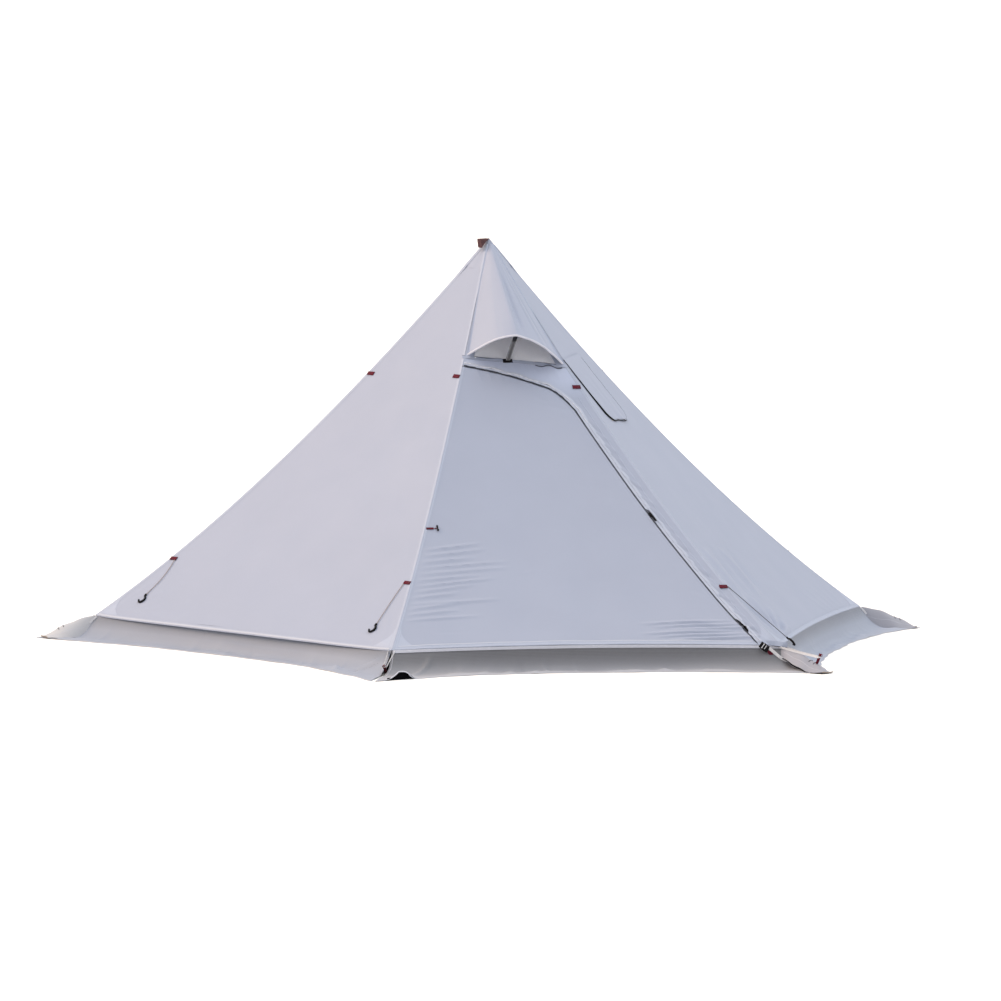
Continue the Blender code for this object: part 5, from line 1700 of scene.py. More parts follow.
FLAP_WIDTH = JACK_WIDTH + 2 * FLAP_BORDER
FLAP_LENGTH = JACK_LENGTH + 2 * FLAP_BORDER


def flap_cut(across):
    inside = np.maximum(np.abs(across) - (FLAP_WIDTH / 2 - FLAP_CORNER_RADIUS), 0.0)
    round_corner = FLAP_CORNER_RADIUS - np.sqrt(np.maximum(FLAP_CORNER_RADIUS**2 - inside**2, 0.0))
    return round_corner + 0.020 * smooth(-(across - 0.08) / 0.16)


def flap_billow(across, along):
    """Low folds of the hanging flap, calm at its sewn top."""
    down = np.clip((along + FLAP_LENGTH / 2) / FLAP_LENGTH, 0, 1)
    folds = 0.0030 * gauss(across, -0.07 + 0.10 * down, 0.030)
    folds = folds + 0.0026 * gauss(across, 0.085 - 0.04 * down, 0.024)
    return down * (0.0008 + folds + 0.0014 * np.sin(across * 31 + 4 * down) ** 2)


def flap_line(outline, lift):
    """A line over the hanging flap, at a height above its lining."""
    across, along = outline[:, 0], outline[:, 1]
    return jack_place(across, along, lift + flap_billow(across, along))


def make_flap():
    across = np.linspace(-FLAP_WIDTH / 2, FLAP_WIDTH / 2, 57)[None, :]
    share = np.linspace(0, 1, 57)[:, None]
    top = -JACK_LENGTH / 2 - FLAP_BORDER - FLAP_TOP_EXTRA
    bottom = FLAP_LENGTH / 2 - flap_cut(across)
    along = top + (bottom - top) * share
    lift = FLAP_LIFT + CLOTH_BASE + flap_billow(across, along)
    points = jack_place(across + 0 * along, along, lift)
    uv = pair(across, along)
    normal = side_normal(RIGHT, JACK_SLOPE)
    shape = Shape().slab(points, CLOTH, normal, uv)
    # Binding round the free edges: thin at the top left, thick at the lower left, pale on the right
    left = pair(-FLAP_WIDTH / 2, np.linspace(top + 0.004, FLAP_LENGTH / 2 - FLAP_CORNER_RADIUS, 50))
    angle = np.linspace(0, math.pi / 2, 16)[1:]
    round_left = pair(
        -FLAP_WIDTH / 2 + FLAP_CORNER_RADIUS * (1 - np.cos(angle)),
        FLAP_LENGTH / 2 - FLAP_CORNER_RADIUS * (1 - np.sin(angle)),
    )
    foot = np.linspace(-FLAP_WIDTH / 2 + FLAP_CORNER_RADIUS, FLAP_WIDTH / 2 - FLAP_CORNER_RADIUS, 30)[1:]
    below = pair(foot, FLAP_LENGTH / 2)
    mirrored = np.concatenate([left, round_left])[::-1] * np.array((-1.0, 1.0))
    outline = np.concatenate([left, round_left, below, mirrored[1:]])
    lower = smooth((outline[:, 1] - 0.05) / (FLAP_LENGTH / 2 - 0.05))
    outline[:, 1] -= 0.020 * smooth(-(outline[:, 0] - 0.08) / 0.16) * lower
    dark = len(left) + len(round_left) + len(below)
    edge = flap_line(outline, FLAP_LIFT + 0.0008)
    share = np.linspace(0, 1, dark)
    thick = 0.0018 + 0.0036 * gauss(share, 0.50, 0.17) + 0.0010 * gauss(share, 0.80, 0.2)
    shape.tube(edge[:dark], thick, slot=1, up=normal)
    pale = np.full(len(outline) - dark + 1, 0.0017)
    shape.tube(edge[dark - 1 :], pale + 0.0003 * np.sin(np.arange(len(pale)) * 0.9), slot=2)
    line = flap_line(outline * np.array((0.955, 0.965)), FLAP_LIFT + CLOTH + 0.0007)
    shape.tube(line[2:-2], 0.0005, sides=4, slot=3)
    item = shape.piece("stove_flap_cloth", [CANOPY, BLACK_BINDING, SEAM, DARK_THREAD])
    place(item, "stove_flap", "canopy", "stove_jack_flap")


make_jack()
make_flap()


# Snow skirt

def skirt_width(side, share):
    share = np.asarray(share, float)
    corner = np.full(share.shape, SKIRT_WIDTH_CORNER)
    if side == FRONT:
        corner = np.where(share < 0, SKIRT_WIDTH_DOOR_LEFT, corner)
    if side == LEFT:
        corner = np.where(share > 0, SKIRT_WIDTH_DOOR_LEFT, corner)
    return SKIRT_WIDTH_MIDDLE + (corner - SKIRT_WIDTH_MIDDLE) * np.abs(share) ** 3


def skirt_curve():
    """The skirt's fall as a smooth curve of (share of its spread, share of the hem's height)."""
    points = smooth_path([(spread, rise, 0) for spread, rise in SKIRT_PROFILE], 240)
    return points[:, 0], np.maximum(points[:, 1], 0)


SKIRT_CURVE = skirt_curve()


def skirt_point(side, share, spread, lift=0.0):
    outward, along = side_axes(side)
    share, spread = np.broadcast_arrays(np.asarray(share, float), np.asarray(spread, float))
    hem = hem_slope(share)
    width = skirt_width(side, share)
    distance = SIDE_DISTANCE * hem + width * spread
    reach = HALF_SIDE * distance / SIDE_DISTANCE - GAP - SKIRT_CORNER_SLOT * np.minimum(spread * 4, 1)
    wave = 0.5 - 0.5 * np.cos(2 * math.pi * share * HALF_SIDE / SKIRT_RIPPLE_LENGTH + side)
    top = height(hem) - 2 * GAP
    rise = np.interp(spread, *SKIRT_CURVE)
    level = top * rise + SKIRT_RIPPLE * wave * spread**2
    step = 0.01
    drop = np.interp(spread + step, *SKIRT_CURVE) - np.interp(spread - step, *SKIRT_CURVE)
    steep = top * -drop / (2 * step)
    size = np.hypot(steep, width)
    lift = np.asarray(lift, float)
    distance = distance + lift * steep / size
    level = level + lift * width / size
    flat = outward * distance[..., None] + along * (share * reach)[..., None]
    return flat + UP * level[..., None]


def skirt_folds(side, share, spread):
    """Radial rucks that open towards the outer edge, tight ones under the hem, and lazy waves."""
    random = np.random.default_rng(70 + side)
    total = 0.0012 * np.sin(share * 61 + 3 * np.sin(share * 23)) * np.exp(-spread * 9)
    for _ in range(34):
        middle = random.uniform(-1, 1)
        lean = random.normal(0, 0.05)
        width = random.uniform(0.008, 0.030)
        depth = random.uniform(-0.0035, 0.0075)
        start = random.uniform(0.0, 0.6)
        total = total + depth * gauss(share, middle + lean * spread, width) * smooth((spread - start) / 0.4)
    for _ in range(7):
        level = random.uniform(0.15, 0.85)
        middle = random.uniform(-0.9, 0.9)
        total = total + random.uniform(0.001, 0.004) * gauss(spread, level + 0.1 * share, 0.05) * gauss(
            share, middle, 0.14
        )
    return total


ARCH_SHARE = -0.892
ARCH_WIDTH = 0.030


def front_arch(share, spread):
    """The front skirt's left end stands up off the ground in an arch."""
    stands = np.minimum(1.45 * gauss(share, ARCH_SHARE, ARCH_WIDTH), 1 - 4 * (share - ARCH_SHARE))
    return 0.036 * np.clip(stands, 0, 1) * smooth((spread - 0.60) / 0.40)


def make_skirt(side):
    name = SIDE_NAMES[side]
    columns = 200 if side in (FRONT, RIGHT, LEFT) else 120
    share = np.linspace(-1, 1, columns + 1)[None, :]
    spread = np.linspace(0, 1, 33)[:, None] ** 0.9
    ragged = 1 + 0.030 * np.sin(share * 13 + side) + 0.022 * np.sin(share * 37 + 2 * side)
    place_down = spread * (1 + (ragged - 1) * smooth((spread - 0.5) / 0.5) - 0.03)
    folds = skirt_folds(side, share, spread)
    if side == FRONT:
        folds = folds + front_arch(share, spread)
        folds = folds + 0.010 * gauss(share, -0.79 - 0.14 * spread, 0.014) * smooth(spread / 0.25)
    if side == LEFT:
        folds = folds + 0.012 * gauss(share, 1.0 - 0.42 * spread, 0.022) * smooth(spread / 0.2)
    points = skirt_point(side, share, place_down, CLOTH_BASE + folds * smooth(spread * 5))
    level = points[..., 2]
    stands = gauss(share, ARCH_SHARE, 1.5 * ARCH_WIDTH) if side == FRONT else 0 * share
    hold = smooth((spread - 0.66) / 0.3) * (1 - stands) * 0.84
    points[..., 2] = np.maximum(level * (1 - hold), 0.0006 + 0.0012 * spread)
    outward, _ = side_axes(side)
    uv = pair(share * HALF_SIDE, spread * 0.3)
    # The near-black under face paints the shade beneath the skirt
    shape = Shape().slab(points, CLOTH, UP + outward * 0.3, uv, under=2)
    shape.tube(points[-1] + UP * 0.0007, 0.0017, sides=7, slot=1)
    for end in (1, -2):
        shape.tube(points[2:, end] + UP * 0.0008, 0.0015, sides=6, slot=1)
    if side == FRONT:
        # A near-black sheet from the ground up to the arch's rim paints the shade inside the arch
        near = np.linspace(ARCH_SHARE - 2.1 * ARCH_WIDTH, ARCH_SHARE + 2.1 * ARCH_WIDTH, 40)
        rim = skirt_point(side, near, 0.955 + 0 * near, front_arch(near, 0.955))
        floor = rim * np.array((1, 1, 0)) + UP * 0.0008
        shade = np.linspace(0, 1, 6)[:, None, None]
        shape.slab(floor * (1 - shade) + (rim - UP * 0.0012) * shade, 0.0006, outward, slot=4)
        # A pale tube along the arch's rim paints the highlight on its lifted edge
        edge = [int((ARCH_SHARE + reach * ARCH_WIDTH + 1) / 2 * columns) for reach in (-1.3, 1.7)]
        shape.tube(points[-1, edge[0] : edge[1]] + UP * 0.0012, 0.0030, slot=3)
    cloth = SKIRT_CLOTHS.get(side, SIDE_SKIRT)
    item = shape.piece("skirt_cloth_" + name, [cloth, SKIRT_HEM, UNDERSIDE_SHADE, PIPING_AND_HIGHLIGHT, SHADE])
    place(item, "canopy", "skirt", "skirt_" + name)


def skirt_paint(name, colour, fade):
    """A coarser cloth, darker in the shade of the hem."""
    return cloth_paint(name, colour, cloud=0.09, thread=0.0006, grain=0.2, fade=fade)


# The skirts are one cloth: the front's and the sides' tones and the darker bands by the hem are painted light
# and shade
SKIRT_COLOUR = (0.420, 0.436, 0.500)
SIDE_COLOUR = (0.300, 0.335, 0.425)
FRONT_SKIRT_PAINTED_SHADE = ((0.10, 0.30, 0.47), (0.035, 0.10, 0.235))
SIDE_SKIRT_PAINTED_SHADE = ((0.06, 0.18, 0.86), (0.012, 0.060, 0.50))
SIDE_SKIRT = skirt_paint("side_skirt_cloth", SIDE_COLOUR, SIDE_SKIRT_PAINTED_SHADE)
SKIRT_CLOTHS = {
    FRONT: skirt_paint("skirt_cloth", SKIRT_COLOUR, FRONT_SKIRT_PAINTED_SHADE),
    # The right skirt is a lighter copy of the side cloth: painted light
    RIGHT: skirt_paint("right_skirt_cloth", scaled(SIDE_COLOUR, 1.14), SIDE_SKIRT_PAINTED_SHADE),
}
SKIRT_HEM = cloth_paint("skirt_hem", scaled(SKIRT_COLOUR, 1.05), cloud=0.05)
SHADE = cloth_paint("deep_shade", (0.002, 0.002, 0.003), cloud=0.02)
dull(SHADE, 0.02)
for skirt_side in range(SIDES):
    make_skirt(skirt_side)


# Painted shade: the sill strap is white webbing, made grey for the shade under the hem
SHADED_SILL_WEBBING = webbing_paint("sill_webbing_painted_shade", (0.46, 0.48, 0.56))


def make_sill():
    fall = np.hypot(SKIRT_WIDTH_MIDDLE * SKIRT_PROFILE[1][0], HEM_HEIGHT * (1 - SKIRT_PROFILE[1][1]))
    share = np.linspace(-0.995, 0.995, 230)[None, :]
    level = np.linspace(SILL_DROP - 0.0065, SILL_DROP + 0.30 * SILL_WIDTH, 9)[:, None]
    spread = SKIRT_PROFILE[1][0] * level / fall
    edge = 0.0005 * np.cos((level - SILL_DROP) / SILL_WIDTH * 2 * math.pi)
    wave = 0.0006 * np.sin(share * 23) * np.sin(share * 11)
    points = skirt_point(FRONT, share, spread, FABRIC + SILL_CLEARANCE + edge + wave)
    outward, _ = side_axes(FRONT)
    uv = pair(share * HALF_SIDE, level)
    item = Shape().slab(points, SILL_THICKNESS, outward, uv).piece("sill_strap_webbing", [SHADED_SILL_WEBBING])
    place(item, "canopy", "white_webbing", "sill_strap")


make_sill()


# Webbing loops, tie-back, straps and pegs

def loop_path(ridge, free, thickness, ply=0.0012, eye=0.0021):
    """A doubled strap in its own X and Z: from the ridge out to an open eye and back on top."""
    sign = 1 if free > ridge else -1
    low = -thickness / 2 + ply / 2
    high = thickness / 2 - ply / 2 + 0.0005
    neck = free - sign * 0.0085
    centre = free - sign * (eye + ply / 2)
    anchors = [(ridge, low), ((ridge + neck) / 2, low), (neck, low)]
    for turn in np.radians((-70, -25, 25, 70)):
        anchors.append((centre + sign * eye * math.cos(turn), (low + high) / 2 + 1.35 * eye * math.sin(turn)))
    anchors += [(neck, high), ((ridge + neck) / 2, high + 0.0003), (ridge, high)]
    return smooth_path([(x, 0, max(z, -thickness / 2 + ply / 2)) for x, z in anchors], 46)


def add_box_stitch(shape, matrix, middle, length, width, lift, slot):
    """A sewn box with a cross in it, on top of a strap."""
    corners = [(-1, -1), (1, -1), (1, 1), (-1, 1), (-1, -1), (1, 1)]
    lines = list(zip(corners, corners[1:])) + [((1, -1), (-1, 1))]
    for (x0, y0), (x1, y1) in lines:
        share = np.linspace(0, 1, 9)
        x = middle + (x0 + (x1 - x0) * share) * length / 2
        y = (y0 + (y1 - y0) * share) * width / 2
        z = lift + 0.0002 * np.cos(share * math.pi * 8)
        shape.tube(transformed(np.stack([x, y, z], axis=1), matrix), 0.00042, sides=4, slot=slot)


def make_loop(name, corner, slope):
    side, sign = loop_side(corner)
    lateral = sign * (half_width(slope) - LOOP_LENGTH / 2 - LOOP_INSET)
    matrix = side_matrix(side, lateral, slope, FABRIC + 2 * GAP + LOOP_THICKNESS / 2)
    ridge, free = sign * LOOP_LENGTH / 2, -sign * LOOP_LENGTH / 2
    shape = Shape()
    path = transformed(loop_path(ridge, free, LOOP_THICKNESS), matrix)
    shape.ribbon(path, np.array(matrix)[:3, 1], LOOP_WIDTH, 0.0012, 0)
    stitch = LOOP_THICKNESS / 2 + 0.0006
    add_box_stitch(shape, matrix, ridge * 0.52, LOOP_LENGTH * 0.36, LOOP_WIDTH * 0.72, stitch, 1)
    item = shape.piece(name + "_webbing", [RED_WEBBING, DARK_THREAD])
    place(item, "canopy", "red_webbing", name)


def make_loops():
    for corner in range(SIDES):
        make_loop("upper_loop_" + CORNER_NAMES[corner], corner, UPPER_LOOP_SLOPES[corner])
        make_loop("lower_loop_" + CORNER_NAMES[corner], corner, LOWER_LOOP_SLOPES[corner])


def tie_matrix(lift):
    lateral = -half_width(TIE_SLOPE) + TIE_LENGTH / 2 + TIE_INSET
    return side_matrix(FRONT, lateral, TIE_SLOPE, lift)


# Radius, and share of the half length, from one end to the waist
TOGGLE_PROFILE = (
    (0.0008, 1.0), (0.0030, 0.985), (0.0045, 0.93), (0.0050, 0.84),
    (0.0050, 0.62), (0.0046, 0.50), (0.0038, 0.40), (0.00365, 0.2),
)
TOGGLE_RING_PROFILE = ((0.0049, -0.0009), (0.0053, -0.0004), (0.0053, 0.0004), (0.0049, 0.0009))


def make_tie_back():
    matrix = tie_matrix(FABRIC + GAP + TIE_THICKNESS / 2)
    path = loop_path(-TIE_LENGTH / 2, TIE_LENGTH / 2, TIE_THICKNESS, ply=0.0010, eye=0.0024)
    across = np.array(matrix)[:3, 1]
    neck = TIE_LENGTH / 2 - 0.0145
    stem = path[path[:, 0] < neck]
    half = len(stem) // 2
    shape = Shape()
    for part in (stem[:half], stem[half:]):
        shape.ribbon(transformed(part, matrix), across, TIE_WIDTH, 0.0011, 0)
    # The narrow eye follows the toggle
    bend = transformed(path[path[:, 0] > neck - 0.0015], matrix)
    eye = Shape().ribbon(bend, across, TIE_WIDTH * 0.34, 0.0010, 0).piece("tie_back_eye", [RED_WEBBING])
    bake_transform(eye)
    add_box_stitch(shape, matrix, -TIE_LENGTH * 0.33, 0.012, TIE_WIDTH * 0.66, TIE_THICKNESS / 2 + 0.0005, 1)
    place(shape.piece("tie_back_webbing", [RED_WEBBING, DARK_THREAD]), "door", "red_webbing", "tie_back_loop")
    half = TOGGLE_LENGTH / 2
    profile = [(radius, half * level) for radius, level in TOGGLE_PROFILE]
    profile = profile + [(radius, -level) for radius, level in reversed(profile)]
    pivot = shifted(matrix, (TIE_LENGTH / 2, 0, 0))
    beside = Matrix.Translation((TOGGLE_RADIUS * 0.75 + GAP, 0, TOGGLE_RADIUS - TIE_THICKNESS / 2))
    matrix = pivot @ beside @ Matrix.Rotation(-math.pi / 2, 4, "X")
    shape = Shape().turned(profile[::-1], matrix, sides=24)
    for level in (-0.72, 0.72):
        ring = shifted(matrix, (0, 0, level * half))
        shape.turned(TOGGLE_RING_PROFILE, ring, sides=24)
    place(shape.piece("tie_back_toggle_bar", [BLACK_PLASTIC]), "toggle", "black_plastic", "tie_back_toggle")


def peg_matrix(corner):
    outward = corner_axis(corner)
    lean = math.radians(PEG_LEANS[corner])
    along = outward * math.sin(lean) + UP * math.cos(lean)
    across = np.cross(UP, outward)
    rise = GAP + PEG_FIN * 0.25 * PEG_SEAT * math.sin(lean)
    foot = outward * (CORNER_RADIUS + PEG_REACH[corner]) + UP * rise
    return axes_matrix(across, np.cross(along, across), along, foot)


# Share of the length from the tip, and share of the fins' full reach
PEG_PROFILE = (
    (0.0, 0.22), (0.03, 0.38), (0.20, 0.80), (0.45, 0.92), (0.72, 1.0), (0.800, 1.0), (0.812, 0.70),
    (0.855, 0.66), (0.868, 1.0), (0.92, 1.0), (0.965, 1.04), (0.99, 0.98), (1.0, 0.86),
)
# Share of a fin's reach, and share of half its thickness
FIN_OUTLINE = ((0.5, -1.0), (0.93, -1.0), (1.0, -0.5), (1.0, 0.5), (0.93, 1.0), (0.5, 1.0))


def make_peg(corner):
    rings = []
    for share, size in PEG_PROFILE:
        ring = []
        thin = PEG_FIN_THICKNESS / 2 * max(size, 0.45) * 0.92
        for fin in range(3):
            angle = math.pi / 2 + fin * 2 * math.pi / 3
            out = np.array((math.cos(angle), math.sin(angle)))
            aside = np.array((-out[1], out[0]))
            turn = angle + math.pi / 3
            valley = np.array((math.cos(turn), math.sin(turn))) * PEG_CORE_RADIUS * 1.15 * max(size, 0.4)
            reach = PEG_FIN * size
            ring += [out * reach * far + aside * thin * wide for far, wide in FIN_OUTLINE]
            ring.append(valley)
        rings.append([(x, y, PEG_LENGTH * share) for x, y in ring])
    matrix = peg_matrix(corner)
    shape = Shape().loft(transformed(np.array(rings), matrix))
    # A short pull cord through the head
    turn = np.linspace(0, 2 * math.pi, 25)
    rise = PEG_LENGTH * 0.945 + 0.006 * np.sin(turn)
    loop = np.stack([0.004 + 0.012 * np.cos(turn), -0.004 + 0.004 * np.sin(turn), rise], axis=1)
    shape.tube(transformed(loop[:-1], matrix), 0.0012, sides=6, slot=1)
    name = CORNER_NAMES[corner]
    place(shape.piece("peg_stake_" + name, [PEG_METAL, PEG_CORD], angle=30), "canopy", "peg", "peg_" + name)


PEG_CORD = webbing_paint("peg_pull_cord", (0.10, 0.02, 0.03))


def make_strap(corner):
    """A webbing belt from both sides of the hem's corner round the peg."""
    outward = corner_axis(corner)
    across = np.cross(UP, outward)
    hem = float(side_normal(corner % SIDES, 1.0).dot(outward)) * FABRIC
    clearance = DOOR_SWING_CLEARANCE if corner == 0 else GAP
    start = ridge_point(corner, 1.0) + outward * (hem + clearance + 0.0012) + UP * (-0.004)
    head = np.array(peg_matrix(corner) @ Vector((0, 0, PEG_LENGTH * 0.835)))
    back = head + outward * 0.0085
    wide = 0.020
    slack = 0.0 if corner in (0, 1) else 0.030
    anchors = [
        start - across * wide * 0.9,
        start + (head - start) * 0.45 - across * wide * 0.62 - UP * (0.004 + slack),
        head - outward * 0.012 - across * 0.0095,
        head - across * 0.0098,
        back,
        head + across * 0.0098,
        head - outward * 0.012 + across * 0.0095,
        start + (head - start) * 0.45 + across * wide * 0.62 - UP * (0.005 + slack),
        start + across * wide * 0.9,
    ]
    shape = Shape().ribbon(smooth_path(anchors, 90), UP, STRAP_WIDTH * 0.72, 0.0016, 0)
    name = CORNER_NAMES[corner]
    item = shape.piece("corner_strap_webbing_" + name, [WHITE_WEBBING])
    place(item, "canopy", "white_webbing", "corner_strap_" + name)


make_loops()
make_tie_back()
for peg_corner in range(SIDES):
    make_peg(peg_corner)
    make_strap(peg_corner)


# Zip

def zip_wobble(count, seed):
    """Small sideways wander along the zip, in metres."""
    random = np.random.default_rng(seed)
    share = np.linspace(0, 1, count)
    total = np.zeros(count)
    for _ in range(7):
        total += 0.0006 * np.sin(2 * math.pi * random.uniform(9, 46) * share + random.uniform(0, 6))
    return total * np.minimum(1, 12 * share) * np.minimum(1, 12 * (1 - share))


def top_wave(count):
    """Slow waves of the flap's edge along the door's top, in metres."""
    down = np.linspace(0, SLOPE_LENGTH, count)
    wave = 0.0036 * np.sin(2 * math.pi * down / 0.155 + 0.6) + 0.0016 * np.sin(2 * math.pi * down / 0.071)
    return wave * (1 - smooth((down - 0.50) / 0.2)) * np.minimum(1, 12 * down)


def zip_path(offset, lift, count, seed=None):
    line = resample(LINE[1:-1] * np.array((1.0, SLOPE_LENGTH)), count) / np.array((1.0, SLOPE_LENGTH))
    if seed is not None:
        offset = offset + zip_wobble(count, seed) + top_wave(count)
    line = offset_line(line, offset)
    return on_cloth(FRONT, line[:, 0], line[:, 1], lift)


# The share of the zip that lies across the door's top
TOP_RUN = 0.30
# Where the zip gapes at its foot, as shares of the slope
ZIP_GAP_TOP = 0.914
ZIP_GAP_FOOT = 0.962
ZIP_GAP_LENGTH = 0.048


def make_zip():
    rows = []
    for i, share in enumerate(np.linspace(0, 1, 7)):
        offset = DOOR_GAP + ZIP_TAPE_WIDTH * share
        rows.append(zip_path(offset, ZIP_LIFT + 0.0002 * (i % 2), 360, 5 if share == 1 else None))
    points = np.array(rows)
    travelled = np.linspace(0, SLOPE_LENGTH, 360)[None, :]
    uv = pair(travelled, np.linspace(0, ZIP_TAPE_WIDTH, 7)[:, None])
    shape = Shape().slab(points, ZIP_TAPE_THICKNESS * 0.8, FRONT_OUT, uv)
    count = 3200
    coil = zip_path(DOOR_GAP + 0.0032, TAPE_TOP + 0.0006, count)
    ribs = 0.0014 + 0.0005 * np.cos(np.arange(count) * math.pi)
    turn = int(count * TOP_RUN)
    # One coil in two tones: dark across the top, partly its own colour and partly painted shade from the
    # flap, and paler down the right run as a soft painted shade line
    shape.tube(coil[:turn], ribs[:turn], sides=5, slot=1)
    shape.tube(coil[turn:], ribs[turn:], sides=5, slot=2)
    # The storm flap's facing covers most of the tape, and stands open round the slider
    share = np.linspace(0, 1, 520)
    torn = np.sin(share * 250 + 5 * np.sin(share * 31)) + 0.7 * np.sin(share * 117 + 1)
    centre = np.array(slider_matrix().translation)
    away = np.linalg.norm(zip_path(DOOR_GAP, ZIP_LIFT, 520) - centre, axis=1)
    opened = 1 - smooth((away - 0.030) / 0.018)
    inner = 0.0034 + 0.0060 * (1 - smooth((share - 0.20) / 0.10)) + 0.0012 * torn
    inner = inner + (0.0190 - inner) * opened
    cover = [zip_path(DOOR_GAP + inner + (0.0200 - inner) * part, TAPE_TOP + 0.0001, 520)
             for part in (0.0, 0.5, 1.0)]
    shape.slab(np.stack(cover), 0.0004, FRONT_OUT, slot=3)
    # The shadowed gap at the foot of the zip
    low = np.linspace(ZIP_GAP_TOP, ZIP_GAP_FOOT, 24)
    open_by = 0.026 * np.sin(math.pi * (low - ZIP_GAP_TOP) / ZIP_GAP_LENGTH) ** 0.8
    middle = half_width(low) - JAMB_WIDTH + DOOR_GAP + 0.001
    lens = [on_cloth(FRONT, middle + open_by * part, low, TAPE_TOP + 0.0008)
            for part in (0.0, 0.5, 1.0)]
    shape.slab(np.stack(lens), 0.0004, FRONT_OUT, slot=4)
    item = shape.piece("door_zip_tape", [ZIP_TAPE_AND_FOLD_SHADE, ZIP_COIL, SOFT_SHADE_COIL, FLAP_EDGE, SHADE])
    place(item, "canopy", "zip_tape", "door_zip")

    piping = Shape()
    count = 520
    share = np.linspace(0, 1, count)
    # The piping's thickness comes and goes along it, painting a broken highlight on the flap's edge
    broken = np.sin(share * 330 + 6 * np.sin(share * 47)) + 0.6 * np.sin(share * 171 + 1)
    radius = 0.0013 + 0.0023 * smooth((broken + 0.9) / 1.2) + 0.0003 * np.sin(share * 611)
    path = zip_path(DOOR_GAP + ZIP_TAPE_WIDTH + 0.0012, FABRIC + 0.0034, count, 9)
    turn = int(count * TOP_RUN)
    piping.tube(path[: turn + 1], radius[: turn + 1])
    piping.tube(path[turn:], radius[turn:] * 0.8, slot=1)
    under = zip_path(DOOR_GAP + ZIP_TAPE_WIDTH + 0.0075, FABRIC + 0.0010, count, 9)
    piping.band(under, FRONT_OUT, 0.019, 0.0010, 1)
    place(piping.piece("storm_flap_piping", [PIPING_AND_HIGHLIGHT, FLAP_EDGE]), "canopy", "canopy")


def slider_matrix():
    lateral = half_width(SLIDER_SLOPE) - JAMB_WIDTH + DOOR_GAP + SLIDER_WIDTH / 2 + SLIDER_INSET
    low = SLIDER_SLOPE + SLIDER_REACH
    high = SLIDER_SLOPE - SLIDER_REACH
    ahead = side_point(FRONT, half_width(low) - JAMB_WIDTH, low)
    behind = side_point(FRONT, half_width(high) - JAMB_WIDTH, high)
    along = unit(ahead - behind)
    normal = side_normal(FRONT, SLIDER_SLOPE)
    normal = unit(normal - along * normal.dot(along))
    lift = TAPE_TOP + SLIDER_CLEARANCE
    return axes_matrix(along, np.cross(normal, along), normal, side_point(FRONT, lateral, SLIDER_SLOPE, lift))


def make_slider():
    matrix = slider_matrix()
    shape = Shape()
    lid = (SLIDER_LENGTH * 0.9, SLIDER_WIDTH * 0.94, 0.0020)
    shape.block((SLIDER_LENGTH, SLIDER_WIDTH, 0.0020), shifted(matrix, (0, 0, 0.0012)), 0.0008, 3)
    shape.block(lid, shifted(matrix, (0, 0, 0.0047)), 0.0008, 3)
    shape.block((0.016, 0.0050, 0.0030), shifted(matrix, (-0.003, 0, 0.0030)), 0.0005, 2)
    for sign in (-1, 1):
        rail = shifted(matrix, (0.002, sign * (SLIDER_WIDTH / 2 - 0.0008), 0.0024))
        shape.block((SLIDER_LENGTH * 0.72, 0.0013, 0.0024), rail, 0.0004, 2)
    arch = [(-0.010, 0, 0.0055), (-0.008, 0, 0.0068), (0, 0, 0.0072), (0.009, 0, 0.0070), (0.012, 0, 0.0056)]
    shape.tube(smooth_path(transformed(arch, matrix), 30), 0.0012, sides=10)
    place(shape.piece("zip_slider_body", [BLACK_PLASTIC]), "zip_slider", "black_plastic", "zip_slider")

    pull_height = SLIDER_HEIGHT + GAP + PULL_THICKNESS / 2
    pull = shifted(matrix, (SLIDER_LENGTH / 2 - PULL_THICKNESS, 0, pull_height))
    shape = Shape()
    shape.block((PULL_LENGTH * 0.80, PULL_WIDTH, PULL_THICKNESS * 0.72),
                shifted(pull, (PULL_LENGTH * 0.58, 0, 0)), 0.0010, 3)
    for sign in (-1, 1):
        arm = shifted(pull, (PULL_LENGTH * 0.10, sign * PULL_WIDTH * 0.30, 0))
        shape.block((PULL_LENGTH * 0.24, 0.0026, PULL_THICKNESS * 0.72), arm, 0.0008, 2)
    for i in range(5):
        rib = shifted(pull, (PULL_LENGTH * (0.42 + 0.12 * i), 0, PULL_THICKNESS * 0.40))
        shape.block((0.0016, PULL_WIDTH * 0.72, 0.0012), rib, 0.0004, 2)
    bar = [(-0.0002, PULL_WIDTH * share, 0) for share in (-0.32, 0, 0.32)]
    shape.tube(transformed(bar, pull), 0.0012, sides=10)
    place(shape.piece("zip_pull_tab", [BLACK_PLASTIC]), "zip_pull", "black_plastic", "zip_pull")


make_zip()
make_slider()


# Corner flaps of the skirt, and the buckle

# One corner cloth in two tones: the left corner's flap, which faces away from the lamps, is made paler than
# the other two as painted light
FLAP_CLOTH = cloth_paint("skirt_corner_cloth", (0.300, 0.310, 0.370), cloud=0.06)
LIT_FLAP_CLOTH = cloth_paint("corner_cloth_painted_light", (0.470, 0.480, 0.520), cloud=0.06)
TIP_BINDING = webbing_paint("corner_tip_binding", (0.210, 0.170, 0.135))
FLAP_REACHES = {1: 0.335, 2: 0.315, 5: 0.285}


